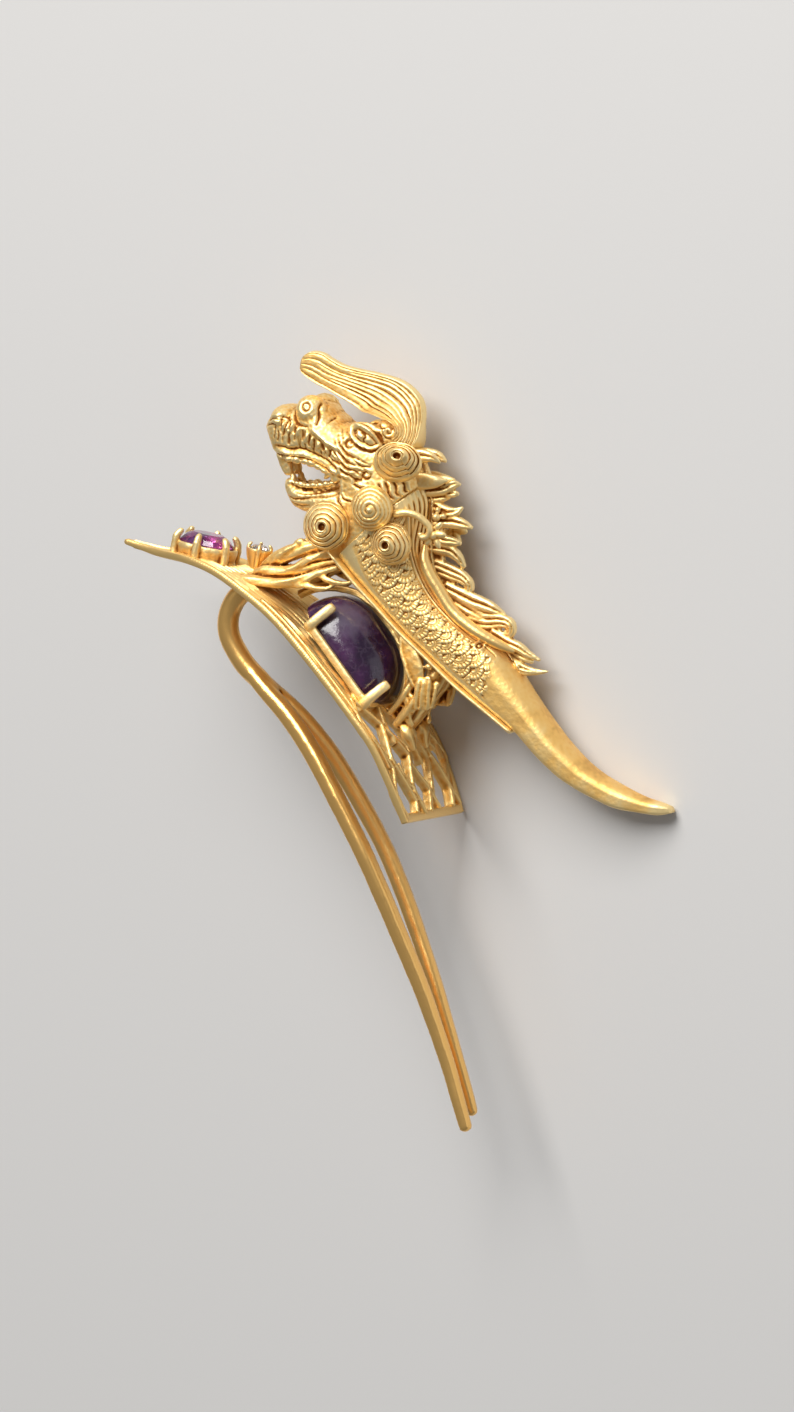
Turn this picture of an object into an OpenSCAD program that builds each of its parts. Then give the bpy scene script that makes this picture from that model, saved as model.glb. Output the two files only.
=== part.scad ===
// Cheopji: a gilt dragon over an openwork leaf, on a two-prong hair fork.
// The profile is drawn in XY: X runs from the head to the tail, Y stands off the leaf.
// Z runs across the ornament, which is the same on both sides of z = 0.
// lie_down() then rests the finished thing on its side, on z = 0.

/* [Leaf base] */
// Thickness of the leaf's sheet
sheet_t = 0.6; // [0.5:0.05:0.7]
// Height of the rail round the leaf's edge
rail_h = 0.85; // [0.8:0.05:1]
// Width of that rail
rail_w = 0.8; // [0.6:0.05:1]
// Width of one long slit between the ribs
slit_w = 0.8; // [0.5:0.05:1]
// Length of one honeycomb cell, along the leaf
cell_l = 3.5; // [3:0.1:3.6]
// Width of one honeycomb cell, across the leaf
cell_w = 3.3; // [2.8:0.1:3.5]
// Wall between two cells
cell_wall = 0.5; // [0.4:0.05:0.7]

/* [Hair fork] */
// Radius of the single wire at the bend
wire_r = 1.25; // [1.1:0.05:1.35]
// Radius of the straight end of a prong
tip_r = 0.8; // [0.7:0.05:0.85]
// Length of that straight end
tip_l = 8; // [6:0.5:8]

/* [Stones] */
// Length of the big cushion stone
stone_l = 14.4; // [13:0.1:14.6]
// Width of the big stone
stone_w = 10.4; // [10:0.1:10.6]
// Height of its dome above the setting
stone_h = 5.1; // [4.8:0.1:5.1]
// Length of the oval stone near the leaf's tip
oval_l = 6.8; // [6:0.1:7]
// Width of the oval stone
oval_w = 4.8; // [4:0.1:5]
// Diameter of the small round stone
small_d = 2.2; // [2:0.1:2.4]

/* [Dragon] */
// Height of a raised scale
scale_h = 0.28; // [0:0.02:0.35]
// Length of a scale
scale_l = 2.4; // [2:0.1:3]
// Height of a coiled whorl
whorl_h = 2.4; // [2:0.1:2.6]
// Thickness of the crest's plate
crest_t = 1; // [0.8:0.1:1.2]
// Thickness of the mane's plate
mane_t = 1.1; // [0.8:0.1:1.2]
// Thickness of the strip under the belly
belly_t = 0.6; // [0.4:0.05:0.7]

/* [Hidden] */
gap = 0.06;
$fn = 40;
GOLD = "#d9a441";
DEEP_GOLD = "#c08a2d";
VIOLET = "#3c1450";
LILAC = "#b58ac2";
CLEAR = "#dfe3ea";

// How it lies: turns about X and then Y, and the lift and shift after them
lie_x = -14.91;
lie_y = 5.303;
lift = 9.96;
shift = [-11.286, -2.037];

// Leaf, along its middle: x, y, half width
LEAF = [[-27.1, -14.7, 0.4], [-24.8, -12.9, 1.5], [-22.8, -11.2, 2.6], [-19.9, -8.2, 4.2],
        [-16.4, -5.6, 5.5], [-12, -3.6, 6.7], [-7.3, -2, 7.8], [-2, -1.1, 8.6], [3.3, -0.6, 9.1],
        [8.2, -0.4, 9.3], [12.2, -0.5, 9.2], [17, -1.6, 8.8], [21.3, -2.9, 8.15]];
// Lanes of slits between the ribs: share of the half width, first x, last x
LANES = [[0.17, -19.2, -8], [0.5, -17.5, -8], [0.8, -15, 8]];

// Middle line of the single wire: x, y
BEND = [[-13.6, -5.1], [-13.45, -6.2], [-13.1, -7.9], [-12, -9.6], [-10.1, -10.7], [-6.8, -11.1],
        [-3.7, -10.6], [-0.4, -10]];
// Middle line of the near prong: x, y, z, radius
PRONG = [[-5.5, -10.95, 0.2, 0.9], [-2.6, -10.5, 0.7, 1.05], [1.5, -9.8, 1.4, 1.1], [6.5, -9.6, 2.2, 1.1],
         [11.8, -10.05, 2.8, 1.1], [19.2, -11.05, 3.1, 1.08], [25, -12.3, 2.95, 1.05], [30, -13.6, 2.6, 1],
         [36.8, -15.5, 1.9, 0.92]];
prong_end = [52.2, -20.95, 1.5];
prong_turn = [0.938, -0.347, 0.01];
far_short = 1.6;

// Trunk and tail: top x, top y, low x, low y, half width
TRUNK = [[-9.4, 20.2, -8.8, 7.3, 4.3], [-7.2, 19.1, -8.1, 7.3, 4.2], [-3.6, 15.8, -5.2, 7.5, 4],
         [-0.1, 14.3, -1.7, 7.9, 3.8], [3.4, 14.1, 2.6, 8.4, 3.6], [7.5, 15, 6.9, 9.2, 3.4],
         [11.2, 16.3, 11.3, 10, 3.2], [15.3, 16.3, 15.9, 11.2, 3], [18.8, 16.1, 19.7, 12.2, 2.8],
         [21.9, 16.1, 23.4, 12.6, 2.7], [24.6, 16.3, 26.4, 13.1, 2.5], [27.4, 16.7, 28.8, 13.9, 2.3],
         [29.7, 17.4, 31.2, 15, 2.1], [32.3, 18.6, 33.8, 16.5, 1.9], [35, 20.1, 35.9, 18.4, 1.5],
         [36.6, 21.3, 37.7, 20.3, 1.1], [37.7, 22, 38.4, 21.7, 0.6]];
// Upper head from the snout back, in the same columns
SKULL = [[-26.7, 8.4, -25.2, 8, 1.2], [-27.1, 9.9, -23.4, 7.8, 2.6], [-26.4, 11.5, -21.5, 8.5, 3.4],
         [-25.6, 13.7, -19.9, 10.1, 3.7], [-24.6, 15.8, -18.4, 11.5, 3.9], [-22.4, 16.4, -16.3, 12.1, 4],
         [-20.7, 16.9, -14.5, 11.9, 4.2], [-18.7, 19, -12.7, 10.3, 4.4], [-15.1, 21, -11.1, 8.4, 4.4],
         [-11.5, 21.1, -9.7, 7.5, 4.4], [-9.5, 20.2, -8.9, 7.3, 4.3]];
// Lower jaw, in the same columns
JAW = [[-20.4, 6.7, -18.9, 5.7, 1.4], [-19, 7.6, -17.1, 5.6, 2.4], [-17.8, 8.5, -15.6, 6.5, 2.9],
       [-16.7, 9.9, -14.3, 7.6, 3.3], [-15.8, 11.5, -12.6, 8.4, 3.6], [-14.3, 12.8, -11.1, 9, 3.8]];

// Whorls on each side: x, y, foot z, radius, radius of the eye; an eye of 0 is a ball
WHORLS = [[-12.7, 20.3, 4.3, 2.75, 0.45], [-12.3, 8.7, 4.3, 2.7, 0.5], [-10.4, 14.75, 4.7, 2.25, 0],
          [-5.8, 14.1, 4.5, 2.25, 0.45]];
// The far side's first one sits further forward, behind the crest
FAR_WHORL = [-15.9, 17.3, 4.5, 2.4, 0.45];

// Upper edge of the crest, from its tip to its heel: x, y
CREST_TOP = [[-30, 15.6], [-30.5, 16.7], [-30.2, 18.1], [-28.6, 19.1], [-26.5, 20.2], [-24.7, 21.6],
             [-22.7, 23.5], [-20.6, 25.1], [-18.5, 25.7], [-16.5, 25.2], [-15.6, 24.2], [-15.1, 23.1],
             [-14, 22.3]];
// Lower edge of the crest, from its tip to its root
CREST_LOW = [[-29.3, 15.4], [-28.5, 15.5], [-27.6, 15.8], [-26.3, 16.4], [-25.1, 17.1], [-24, 17.8],
             [-23.2, 18.2], [-22.3, 18.5], [-21.3, 18.8], [-20.3, 19.2], [-19.2, 19.9], [-17.3, 21],
             [-15.4, 21.8]];

// Foot of the mane along the back: x, y
MANE_FOOT = [[-12.1, 21.8], [-9.2, 20.8], [-7, 19.6], [-4.3, 17.2], [-2.2, 15.9], [0, 15.1], [3.5, 14.9],
             [7.6, 15.8], [11.2, 17], [14, 17.2]];
// Flames of the mane: foot x, foot y, bend x, bend y, tip x, tip y, foot width
FLAMES = [[-11.7, 21.5, -12.1, 23.3, -10.3, 23.4, 1.1], [-10.2, 20.8, -9.8, 22.1, -8, 22.7, 1.2],
          [-8.8, 20.5, -7.6, 21.8, -6.5, 23.1, 1], [-7.2, 19.7, -4.4, 20.3, -4.8, 21.9, 1.4],
          [-5.5, 18.5, -4.1, 20.8, -2.2, 21.4, 1.4], [-4.1, 17.4, -2.9, 18.9, -1.5, 19.3, 1.2],
          [-2.6, 16.2, -1.8, 18.8, 0.7, 18, 1.4], [-0.3, 15.4, 2.5, 18.6, 3.1, 16.4, 1.4],
          [2.8, 15, 4.4, 18.1, 8.2, 18.7, 1.5], [6.2, 15.6, 8.8, 20.2, 10.7, 18.2, 1.4],
          [9.7, 16.5, 12.4, 18.6, 14.9, 19.2, 1.4], [12.4, 17.1, 15, 17.4, 16.8, 19.2, 1.2]];

// Bead along the back: x, y, radius
BEAD = [[-3.9, 17.1, 0.3], [-2.8, 15.95, 0.66], [-1.1, 15.25, 0.74], [1.2, 14.85, 0.74], [3.5, 14.75, 0.72],
        [5.9, 15.25, 0.7], [8.2, 15.95, 0.66], [10.3, 16.75, 0.56], [12.6, 17.1, 0.28]];
bead_z = 1.5;
// Curl on the shoulder: x, y, z, radius
CURL = [[-8.4, 16.1, 4.35, 0.3], [-7.9, 17.3, 4.3, 0.55], [-6.9, 18.2, 3.9, 0.6], [-5.5, 18.8, 3.3, 0.5],
        [-4.6, 18.7, 3.1, 0.75], [-3.9, 17.9, 3.2, 0.8], [-3.7, 17, 3.3, 0.35]];
// Wire arch over the big stone: x, y
ARCH = [[-8.9, -0.6], [-8.6, 0.6], [-7.85, 2.2], [-6.6, 3.85], [-4.6, 5.4], [-2.1, 6.2], [0.4, 6.4], [2.9, 6.15],
        [5.3, 5.4], [7, 3.9], [8.1, 2.2], [8.6, 0.9], [8.8, 0.3]];
arch_r = 0.42;

// Strands of the sprigs, one side of them: foot, bend and tip as x, y, z, then foot and tip radius
FRONT_STRANDS = [[[-13.3, -2.6, 0], [-13.3, 1.6, 0], [-10.7, 5.5, 0], 0.7, 0.7],
                 [[-12, -2.5, 1], [-13.4, 1.4, 1.3], [-11.4, 4.7, 1.3], 0.6, 0.75],
                 [[-11.2, -2.2, 2.2], [-11.4, 1.4, 2], [-8.8, 5.5, 1.4], 0.6, 0.6],
                 [[-12.6, -2.6, 2.6], [-9.3, -0.6, 3], [-9.3, 4.2, 2.3], 0.55, 0.6]];
REAR_STRANDS = [[[12.6, 0.8, 0], [10.7, 4.8, 0], [9.3, 8.2, 0], 0.65, 0.6],
                [[11.8, 0.8, 1.4], [10.2, 5.2, 1.5], [4, 7.1, 1.3], 0.6, 0.5],
                [[11.4, 0.8, 2.6], [9.5, 4.4, 2.8], [7.2, 6.9, 2.2], 0.6, 0.6],
                [[12.8, 0.75, 2.9], [11.4, 3.2, 3.4], [10.2, 5.4, 2.9], 0.55, 0.65]];

// Middle of the ear
ear_at = [-16.2, 20.6];

// Stones and settings: place on the profile and lean of the seat
oval_at = [-20.5, -6.4];
oval_lean = 41;
small_at = [-16.05, -1.4];
small_lean = 40;
seat_y = 0.5;
stone_x = 0.3;
bar_x = 1.4;
bar_l = 11.8;
bar_h = 1.2;
bar_t = 0.7;
claw_t = 0.75;
claw_w = 1.3;
// Honeycomb: where it starts, number of rows and height of its walls; band across the end
net_start = 7.6;
net_rows = 4;
net_h = 1.1;
band_x = 20.3;

function unit(v) = v / norm(v);
function turned(v) = [-v[1], v[0]];
function flat2(p) = [p[0], p[1]];
function mix(a, b, t) = a + (b - a) * t;

// Points or rows between the given ones, on a smooth curve through them
function between(a, b, c, d, t) =
    0.5 * (2 * b + (c - a) * t + (2 * a - 5 * b + 4 * c - d) * t * t + (3 * b - a - 3 * c + d) * t * t * t);
function curve(rows, steps) = let (last = len(rows) - 1)
    [for (i = [0:last - 1]) for (j = [0:steps - 1])
        between(rows[max(i - 1, 0)], rows[i], rows[i + 1], rows[min(i + 2, last)], j / steps), rows[last]];

// Strip of even width along a line of points
function heading(line, i) = unit(flat2(line[min(i + 1, len(line) - 1)]) - flat2(line[max(i - 1, 0)]));
function edge(line, off) = [for (i = [0:len(line) - 1]) flat2(line[i]) + turned(heading(line, i)) * off];
function backwards(list) = [for (i = [len(list) - 1:-1:0]) list[i]];
function strip(line, up, down) = concat(edge(line, up), backwards(edge(line, -down)));

// Value of a table's column at x
function at_x(rows, x, col) = let (i = max([for (k = [0:len(rows) - 2]) rows[k][0] <= x ? k : 0]))
    mix(rows[i][col], rows[i + 1][col], (x - rows[i][0]) / (rows[i + 1][0] - rows[i][0]));

// Closed skin over a list of rings with equal numbers of points
module skin(rings) {
    n = len(rings[0]);
    last = len(rings) - 1;
    polyhedron(points = [for (r = rings) for (p = r) p], convexity = 6, faces = concat(
        [[for (i = [0:n - 1]) i]], [[for (i = [n - 1:-1:0]) last * n + i]],
        [for (r = [0:last - 1]) for (i = [0:n - 1]) let (j = (i + 1) % n)
            each [[r * n + i, (r + 1) * n + i, r * n + j], [r * n + j, (r + 1) * n + i, (r + 1) * n + j]]]));
}

// One rounded section of a body row, flatter below; swell gives the raised relief
function section(row, sides, low_power, swell = 0) =
    let (top = [row[0], row[1]], low = [row[2], row[3]], mid = (top + low) / 2, half = (top - low) / 2)
    [for (i = [0:sides - 1]) let (a = 360 * i / sides, power = cos(a) < 0 ? low_power : 1,
        u = sign(cos(a)) * pow(abs(cos(a)), power), v = sign(sin(a)) * pow(abs(sin(a)), power),
        out = is_list(swell) ? swell[i] : swell, p = mid + half * (u + out * cos(a) / norm(half)))
        [p[0], p[1], row[4] * v + out * sin(a)]];

// Round tube along points x, y, z, radius
function ring_at(points, i, sides) = let (
    p = points[i], ahead = unit(xyz(points[min(i + 1, len(points) - 1)]) - xyz(points[max(i - 1, 0)])),
    side = unit(cross(ahead, [0, 0, 1])), over = cross(side, ahead))
    [for (k = [0:sides - 1]) let (a = -360 * k / sides) xyz(p) + p[3] * (cos(a) * side + sin(a) * over)];
function xyz(p) = [p[0], p[1], p[2]];
module tube(points, sides) skin([for (i = [0:len(points) - 1]) ring_at(points, i, sides)]);

// Both halves of something drawn on the near side
module both_sides() for (s = [0, 1]) mirror([0, 0, s]) children();
// A plan drawn in x and z, cut straight down through the profile
module upright() rotate([90, 0, 0]) linear_extrude(60, center = true) children();
module across(half, outline) translate([0, 0, -half]) linear_extrude(2 * half) polygon(outline);
// Puts a thing made on z = 0, facing up, on the profile at a lean from the Y axis
module seated(at, lean) translate([at[0], at[1], 0]) rotate([0, 0, lean]) rotate([-90, 0, 0]) children();

module lie_down() translate([shift[0], shift[1], lift]) rotate([lie_x, lie_y, 0]) children();

function leaf_rim(inset) = let (rows = [for (r = LEAF) if (r[2] > inset + 0.2) r])
    concat([for (r = rows) [r[0] + inset, r[2] - inset]],
           backwards([for (r = rows) [r[0] + inset, inset - r[2]]]));
module leaf_slit(lane) {
    steps = 6;
    xs = [for (k = [0:steps]) mix(lane[1], lane[2], k / steps)];
    mids = [for (x = xs) at_x(LEAF, x, 2) * lane[0]];
    wide = [for (k = [0:steps]) slit_w * (k == 0 || k == steps ? 0.25 : 0.5)];
    upright() polygon(concat([for (k = [0:steps]) [xs[k], mids[k] + wide[k]]],
                             backwards([for (k = [0:steps]) [xs[k], mids[k] - wide[k]]])));
}
// Staggered rows of six-sided cells, cut off at the rail
module leaf_cells() upright() intersection() {
    polygon(leaf_rim(rail_w));
    for (row = [0:net_rows - 1]) for (k = [-2.5:2.5]) let (
        x = net_start + (row * 0.75 + 0.5) * (cell_l + cell_wall),
        z = (k + (row % 2 == 0 ? 0 : 0.5)) * (cell_w + cell_wall))
        polygon([for (c = [[-2, 0], [-1, 1], [1, 1], [2, 0], [1, -1], [-1, -1]])
            [x + c[0] * cell_l / 4, z + c[1] * cell_w / 2]]);
}
module leaf_base() {
    reach = 10;
    sheet = strip(LEAF, sheet_t / 2, sheet_t / 2);
    color(GOLD) difference() {
        union() {
            intersection() {
                across(reach, sheet);
                upright() polygon(leaf_rim(rail_w - 0.1));
            }
            // rail, with the band across the tail end
            intersection() {
                across(reach, strip(LEAF, rail_h / 2, rail_h / 2));
                upright() difference() {
                    polygon(leaf_rim(0));
                    polygon([for (p = leaf_rim(rail_w)) [min(p[0], band_x), p[1]]]);
                }
            }
            // the honeycomb's walls stand on edge
            intersection() {
                across(reach, strip([for (r = LEAF) if (r[0] > net_start) r], net_h / 2, net_h / 2));
                upright() polygon(leaf_rim(rail_w - 0.1));
            }
            // rib along the middle, under the sheet
            across(0.35, strip([for (r = LEAF) if (abs(r[0]) < 12.05 && r[0] < net_start) r], sheet_t / 2 - 0.1,
                               rail_h));
        }
        both_sides() for (lane = LANES) leaf_slit(lane);
        leaf_cells();
    }
}

module fork() {
    start = prong_end - tip_l * unit(prong_turn);
    color(GOLD) {
        tube([for (p = curve(BEND, 2)) [p[0], p[1], 0, wire_r]], 16);
        // the far prong is a little shorter
        for (side = [0, 1]) mirror([0, 0, side]) {
            length = tip_l - side * far_short;
            root = 0.5;
            tube(concat(curve(PRONG, 2), [[start[0], start[1], start[2], tip_r * 1.08]]), 14);
            turn_to(start, prong_turn) translate([0, 0, -root]) rotate_extrude() {
                square([tip_r, length + root]);
                translate([0, length + root]) intersection() {
                    circle(tip_r);
                    square(tip_r);
                }
            }
        }
    }
}
// Turns something that stands on z = 0 so that it starts at a point and runs along a direction
module turn_to(at, ahead) {
    d = unit(ahead);
    translate(at) rotate([0, acos(d[2]), atan2(d[1], d[0])]) children();
}

// Superellipse in plan, for the cushion stone and its seat
function cushion(l, w, power, sides) = [for (i = [0:sides - 1]) let (a = 360 * i / sides)
    [l / 2 * sign(cos(a)) * pow(abs(cos(a)), power), w / 2 * sign(sin(a)) * pow(abs(sin(a)), power)]];
module cabochon() {
    layers = 7;
    top = 84;
    color(VIOLET) translate([stone_x, seat_y, 0]) skin([for (k = [0:layers]) let (a = top * k / layers)
        [for (p = cushion(stone_l * pow(cos(a), 0.7), stone_w * pow(cos(a), 0.95),
                          mix(0.62, 0.85, k / layers), 32))
            [p[0], stone_h * pow(sin(a) / sin(top), 1.1), -p[1]]]]);
}
module cabochon_setting() {
    seat_w = stone_w + 0.5;
    color(GOLD) translate([bar_x, 0, 0]) {
        // bearing under the stone, standing on the leaf
        rotate([90, 0, 0]) translate([0, 0, gap - seat_y]) linear_extrude(seat_y - gap)
            difference() {
                square([bar_l, seat_w], center = true);
                square([bar_l - 2, seat_w - 2.4], center = true);
            }
        // side bars and the claws that they carry
        both_sides() {
            translate([-bar_l / 2, 0, stone_w / 2 + gap]) cube([bar_l, bar_h, bar_t]);
            for (x = [-bar_l / 2, bar_l / 2 - claw_w]) claw(x);
        }
    }
}
// Claw over the stone's shoulder, as a strip bent in the plane across the ornament
module claw(x) {
    z0 = stone_w / 2 + gap;
    line = [[z0 + 0.46, 0.3], [z0 + 0.42, 1.2], [z0 + 0.1, 2.3], [z0 - 0.42, 3.38], [z0 - 1.15, 4.4]];
    translate([x + claw_w, 0, 0]) rotate([0, -90, 0]) linear_extrude(claw_w)
        polygon([for (p = strip(line, claw_t / 2, claw_t / 2)) p]);
}

// Faceted stone with a table, a crown and a point below, lying on its girdle
module cut_stone(l, w, table, crown, depth, facets) {
    skin([for (s = [[0.06, -depth], [0.62, -depth * 0.5], [1, -0.12], [1, 0.08], [0.8, crown * 0.62],
                    [table, crown]])
        [for (i = [0:facets - 1]) let (a = 360 * (i + 0.5) / facets)
            [s[0] * l / 2 * cos(a), s[0] * w / 2 * sin(a), s[1]]]]);
}
module oval_stone() color(LILAC) seated(oval_at, oval_lean) cut_stone(oval_l, oval_w, 0.58, 0.75, 1.5, 12);
module oval_setting() color(GOLD) difference() {
    wall = 0.5;
    foot = 2.3;
    out = 0.52;
    seated(oval_at, oval_lean) {
        difference() {
            scale_oval(oval_l + 2 * wall, oval_w + 2 * wall, -foot, foot - 0.45);
            scale_oval(oval_l - 0.5, oval_w - 0.5, -foot - 1, foot + 2);
        }
        for (a = [35, 90, 145, 215, 270, 325]) let (
            p = [(oval_l / 2 + out) * cos(a), (oval_w / 2 + out) * sin(a)])
            hull() {
                translate([p[0], p[1], -foot]) cylinder(r = 0.34, h = 0.2, $fn = 10);
                translate([p[0], p[1], 0.3]) cylinder(r = 0.38, h = 0.2, $fn = 10);
                translate([p[0] * 0.88, p[1] * 0.88, 0.95]) cylinder(r = 0.3, h = 0.2, $fn = 10);
            }
    }
    // clear of the leaf's slope
    across(9, strip(LEAF, rail_h / 2 + gap, 4));
}
module scale_oval(l, w, low, high) translate([0, 0, low]) linear_extrude(high)
    polygon([for (i = [0:31]) [l / 2 * cos(i * 11.25), w / 2 * sin(i * 11.25)]]);

module small_stone() color(CLEAR) seated(small_at, small_lean)
    cut_stone(small_d, small_d, 0.56, 0.38, 0.9, 8);
module small_setting() color(GOLD) seated(small_at, small_lean) {
    cup = small_d / 2 + gap;
    difference() {
        translate([0, 0, -2.4]) cylinder(r1 = 0.7, r2 = cup + 0.25, h = 2.6);
        translate([0, 0, -0.2]) cylinder(r = cup, h = 1);
        translate([0, 0, -1.3]) cylinder(r1 = 0.3, r2 = cup, h = 1.101);
    }
}

// Twisted driftwood strands, each a chain of tapering lengths that stands on a short foot bar
module strands(table, foot, foot_half) {
    steps = 4;
    translate([foot[0], foot[1], -foot_half]) cylinder(r = foot[2], h = 2 * foot_half, $fn = 12);
    both_sides() for (s = table) for (k = [0:steps - 1]) hull() for (t = [k / steps, (k + 1) / steps])
        translate(mix(mix(s[0], s[1], t), mix(s[1], s[2], t), t))
            sphere(mix(s[3], s[4], t) * (1 + 0.12 * sin(360 * t * 2)), $fn = 6);
}
module front_sprig() color(DEEP_GOLD) strands(FRONT_STRANDS, [-12.2, -2.45, 0.6], 2.8);
module rear_sprig() color(DEEP_GOLD) strands(REAR_STRANDS, [12.2, 0.85, 0.6], 3.1);
module arch_wire() color(DEEP_GOLD) tube([for (p = curve(ARCH, 2)) [p[0], p[1], 0, arch_r]], 10);

// Strip under the belly, which shows as a lip along the flank
module belly_strip() {
    rows = [for (r = TRUNK) if (r[2] < 20) [r[2], r[3] - belly_t / 2 - gap, r[4] + 0.35]];
    line = concat([[-10.6, 6.75, 3.9]], rows);
    color(GOLD) intersection() {
        across(6, strip(line, belly_t / 2, belly_t / 2));
        upright() polygon(concat([for (r = line) [r[0], r[2]]], backwards([for (r = line) [r[0], -r[2]]])));
    }
}

// Height of the overlapping scales at a place along the body and round it
function scale_at(s, g) = max([for (k = [floor(s / scale_l) - 1, floor(s / scale_l)]) let (
    shift = k % 2 == 0 ? 0 : 0.5, c = (round(g / scale_l - shift) + shift) * scale_l,
    d = norm([s - k * scale_l, g - c]))
    d < 0.78 * scale_l ? (0.35 + 0.65 * max(0, s - k * scale_l) / (0.78 * scale_l)) : 0]);
module dragon_body() {
    sides = 36;
    rows = concat(curve([for (i = [0:8]) TRUNK[i]], 5), curve([for (i = [8:len(TRUNK) - 1]) TRUNK[i]], 2));
    scaled = 30;
    color(GOLD) {
        skin([for (i = [0:len(rows) - 1]) section(rows[i], sides, 0.55,
            [for (k = [0:sides - 1]) let (a = 360 * k / sides, side = min(a, 360 - a), fade =
                min(1, max(0, (i - 1) / 3)) * min(1, max(0, (scaled + 11 - i) / 4)))
                side > 38 && side < 128 ? scale_h * fade * scale_at(rows[i][2], side / 360 * 24) : 0])]);
        both_sides() pad(WHORLS[3]);
    }
}
// Stub that carries a whorl
module pad(w) translate([w[0], w[1], 1]) cylinder(r = w[3] * 0.45, h = w[2] - 1 - gap);

module dragon_head() {
    nose = [-24, 13.7, 2.1];
    eye = [-17.7, 17.3, 3.6];
    color(GOLD) {
        skin([for (r = curve(SKULL, 2)) section(r, 24, 0.7)]);
        skin([for (r = curve(JAW, 2)) section(r, 16, 0.8)]);
        pad(WHORLS[0]);
        mirror([0, 0, 1]) pad(FAR_WHORL);
        both_sides() {
            for (k = [1:2]) pad(WHORLS[k]);
            // ear, a low disc beside the crest's heel
            translate([ear_at[0], ear_at[1], crest_t / 2 + 0.16 + gap]) cylinder(r1 = 2.5, r2 = 1.9, h = 3.1);
            // bulging nose, brow, eye, cheek and the two teeth at the front
            hull() { translate(nose) sphere(1.75, $fn = 16); translate(nose + [2.2, 1.2, -0.6]) sphere(1, $fn = 12); }
            hull() { translate([-21.4, 15.7, 3]) sphere(0.9, $fn = 10); translate([-19.2, 17.8, 2.9]) sphere(0.8, $fn = 10); }
            hull() { translate(eye) sphere(0.9, $fn = 12); translate(eye + [-1.2, -1.3, -0.1]) sphere(0.7, $fn = 10); }
            hull() { translate([-16.3, 13.5, 3.9]) sphere(0.9, $fn = 10); translate([-19.3, 12.2, 3.3]) sphere(0.7, $fn = 10); }
            hull() { translate([-22.4, 8.7, 2.2]) sphere(0.55, $fn = 8); translate([-20.3, 8.2, 2]) sphere(0.2, $fn = 6); }
            hull() { translate([-18.5, 7.2, 1.9]) sphere(0.5, $fn = 8); translate([-20, 8.9, 1.6]) sphere(0.2, $fn = 6); }
        }
    }
}

// Raised rib of the crest, a share of the way from the lower edge to the upper one
function crest_line(f) = [for (i = [1:len(CREST_TOP) - 1]) mix(CREST_LOW[i], CREST_TOP[i], f)];
module crest() {
    ribs = 7;
    color(GOLD) {
        across(crest_t / 2, concat(CREST_TOP, backwards(CREST_LOW)));
        for (k = [0.5:ribs - 0.5]) across(crest_t / 2 + 0.16,
            strip(crest_line(k / ribs), 0.16, 0.16));
    }
}

module mane() {
    steps = 8;
    // the web that joins the flames' roots
    web = [for (k = [0:len(MANE_FOOT) - 1]) MANE_FOOT[k] + turned(heading(MANE_FOOT, k)) *
        (k < 3 || k == len(MANE_FOOT) - 1 ? 0.6 : 1.7)];
    color(GOLD) {
        across(mane_t / 2, strip(MANE_FOOT, 0.75, 0.45));
        across(mane_t / 2 - 0.2, concat(web, backwards(MANE_FOOT)));
        for (f = FLAMES) difference() {
            line = [for (k = [0:steps]) let (t = k / steps, a = [f[0], f[1]], b = [f[2], f[3]], c = [f[4], f[5]])
                mix(mix(a, b, t), mix(b, c, t), t)];
            wide = [for (k = [0:steps]) f[6] / 2 * (1 - pow(k / steps, 1.6)) + 0.12];
            across(mane_t / 2 - 0.1, concat(
                [for (k = [0:steps]) line[k] + turned(heading(line, k)) * wide[k]],
                backwards([for (k = [0:steps]) line[k] - turned(heading(line, k)) * wide[k]])));
            across(2, strip(MANE_FOOT, -0.4, 5));
        }
    }
}

module back_bead() color(GOLD) tube([for (p = curve(BEAD, 2)) [p[0], p[1], bead_z, p[2]]], 10);
module shoulder_curl() color(GOLD) tube(curve(CURL, 3), 10);

// Coiled cone, with an eye or a round ball at its point
module whorl(w) {
    coils = 4;
    coil_r = 0.36;
    color(GOLD) translate([w[0], w[1], w[2]]) rotate_extrude() difference() {
        union() {
            polygon([[0, 0], [w[3] - 0.2, 0], [w[3] - 0.2, 0.5], [0.75, whorl_h - 0.3], [0, whorl_h - 0.3]]);
            for (k = [0:coils - 1]) translate([mix(w[3] - coil_r, 0.85, k / (coils - 1)),
                mix(coil_r + 0.15, whorl_h - coil_r, k / (coils - 1))]) circle(coil_r);
            if (w[4] == 0) intersection() {
                translate([0, whorl_h - 0.3]) circle(0.6);
                square([2, whorl_h + 1]);
            }
        }
        if (w[4] > 0) translate([0, whorl_h - 1]) square([w[4], 2]);
    }
}

lie_down() fork();
lie_down() leaf_base();
lie_down() cabochon_setting();
lie_down() cabochon();
lie_down() oval_setting();
lie_down() oval_stone();
lie_down() small_setting();
lie_down() small_stone();
lie_down() front_sprig();
lie_down() rear_sprig();
lie_down() arch_wire();
lie_down() belly_strip();
lie_down() dragon_body();
lie_down() dragon_head();
lie_down() crest();
lie_down() mane();
lie_down() back_bead();  // back_bead_near
lie_down() mirror([0, 0, 1]) back_bead();  // back_bead_far
lie_down() shoulder_curl();  // shoulder_curl_near
lie_down() mirror([0, 0, 1]) shoulder_curl();  // shoulder_curl_far
lie_down() whorl(WHORLS[0]);  // whorl_near_1
lie_down() whorl(WHORLS[1]);  // whorl_near_2
lie_down() whorl(WHORLS[2]);  // whorl_near_3
lie_down() whorl(WHORLS[3]);  // whorl_near_4
lie_down() mirror([0, 0, 1]) whorl(FAR_WHORL);  // whorl_far_1
lie_down() mirror([0, 0, 1]) whorl(WHORLS[1]);  // whorl_far_2
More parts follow.
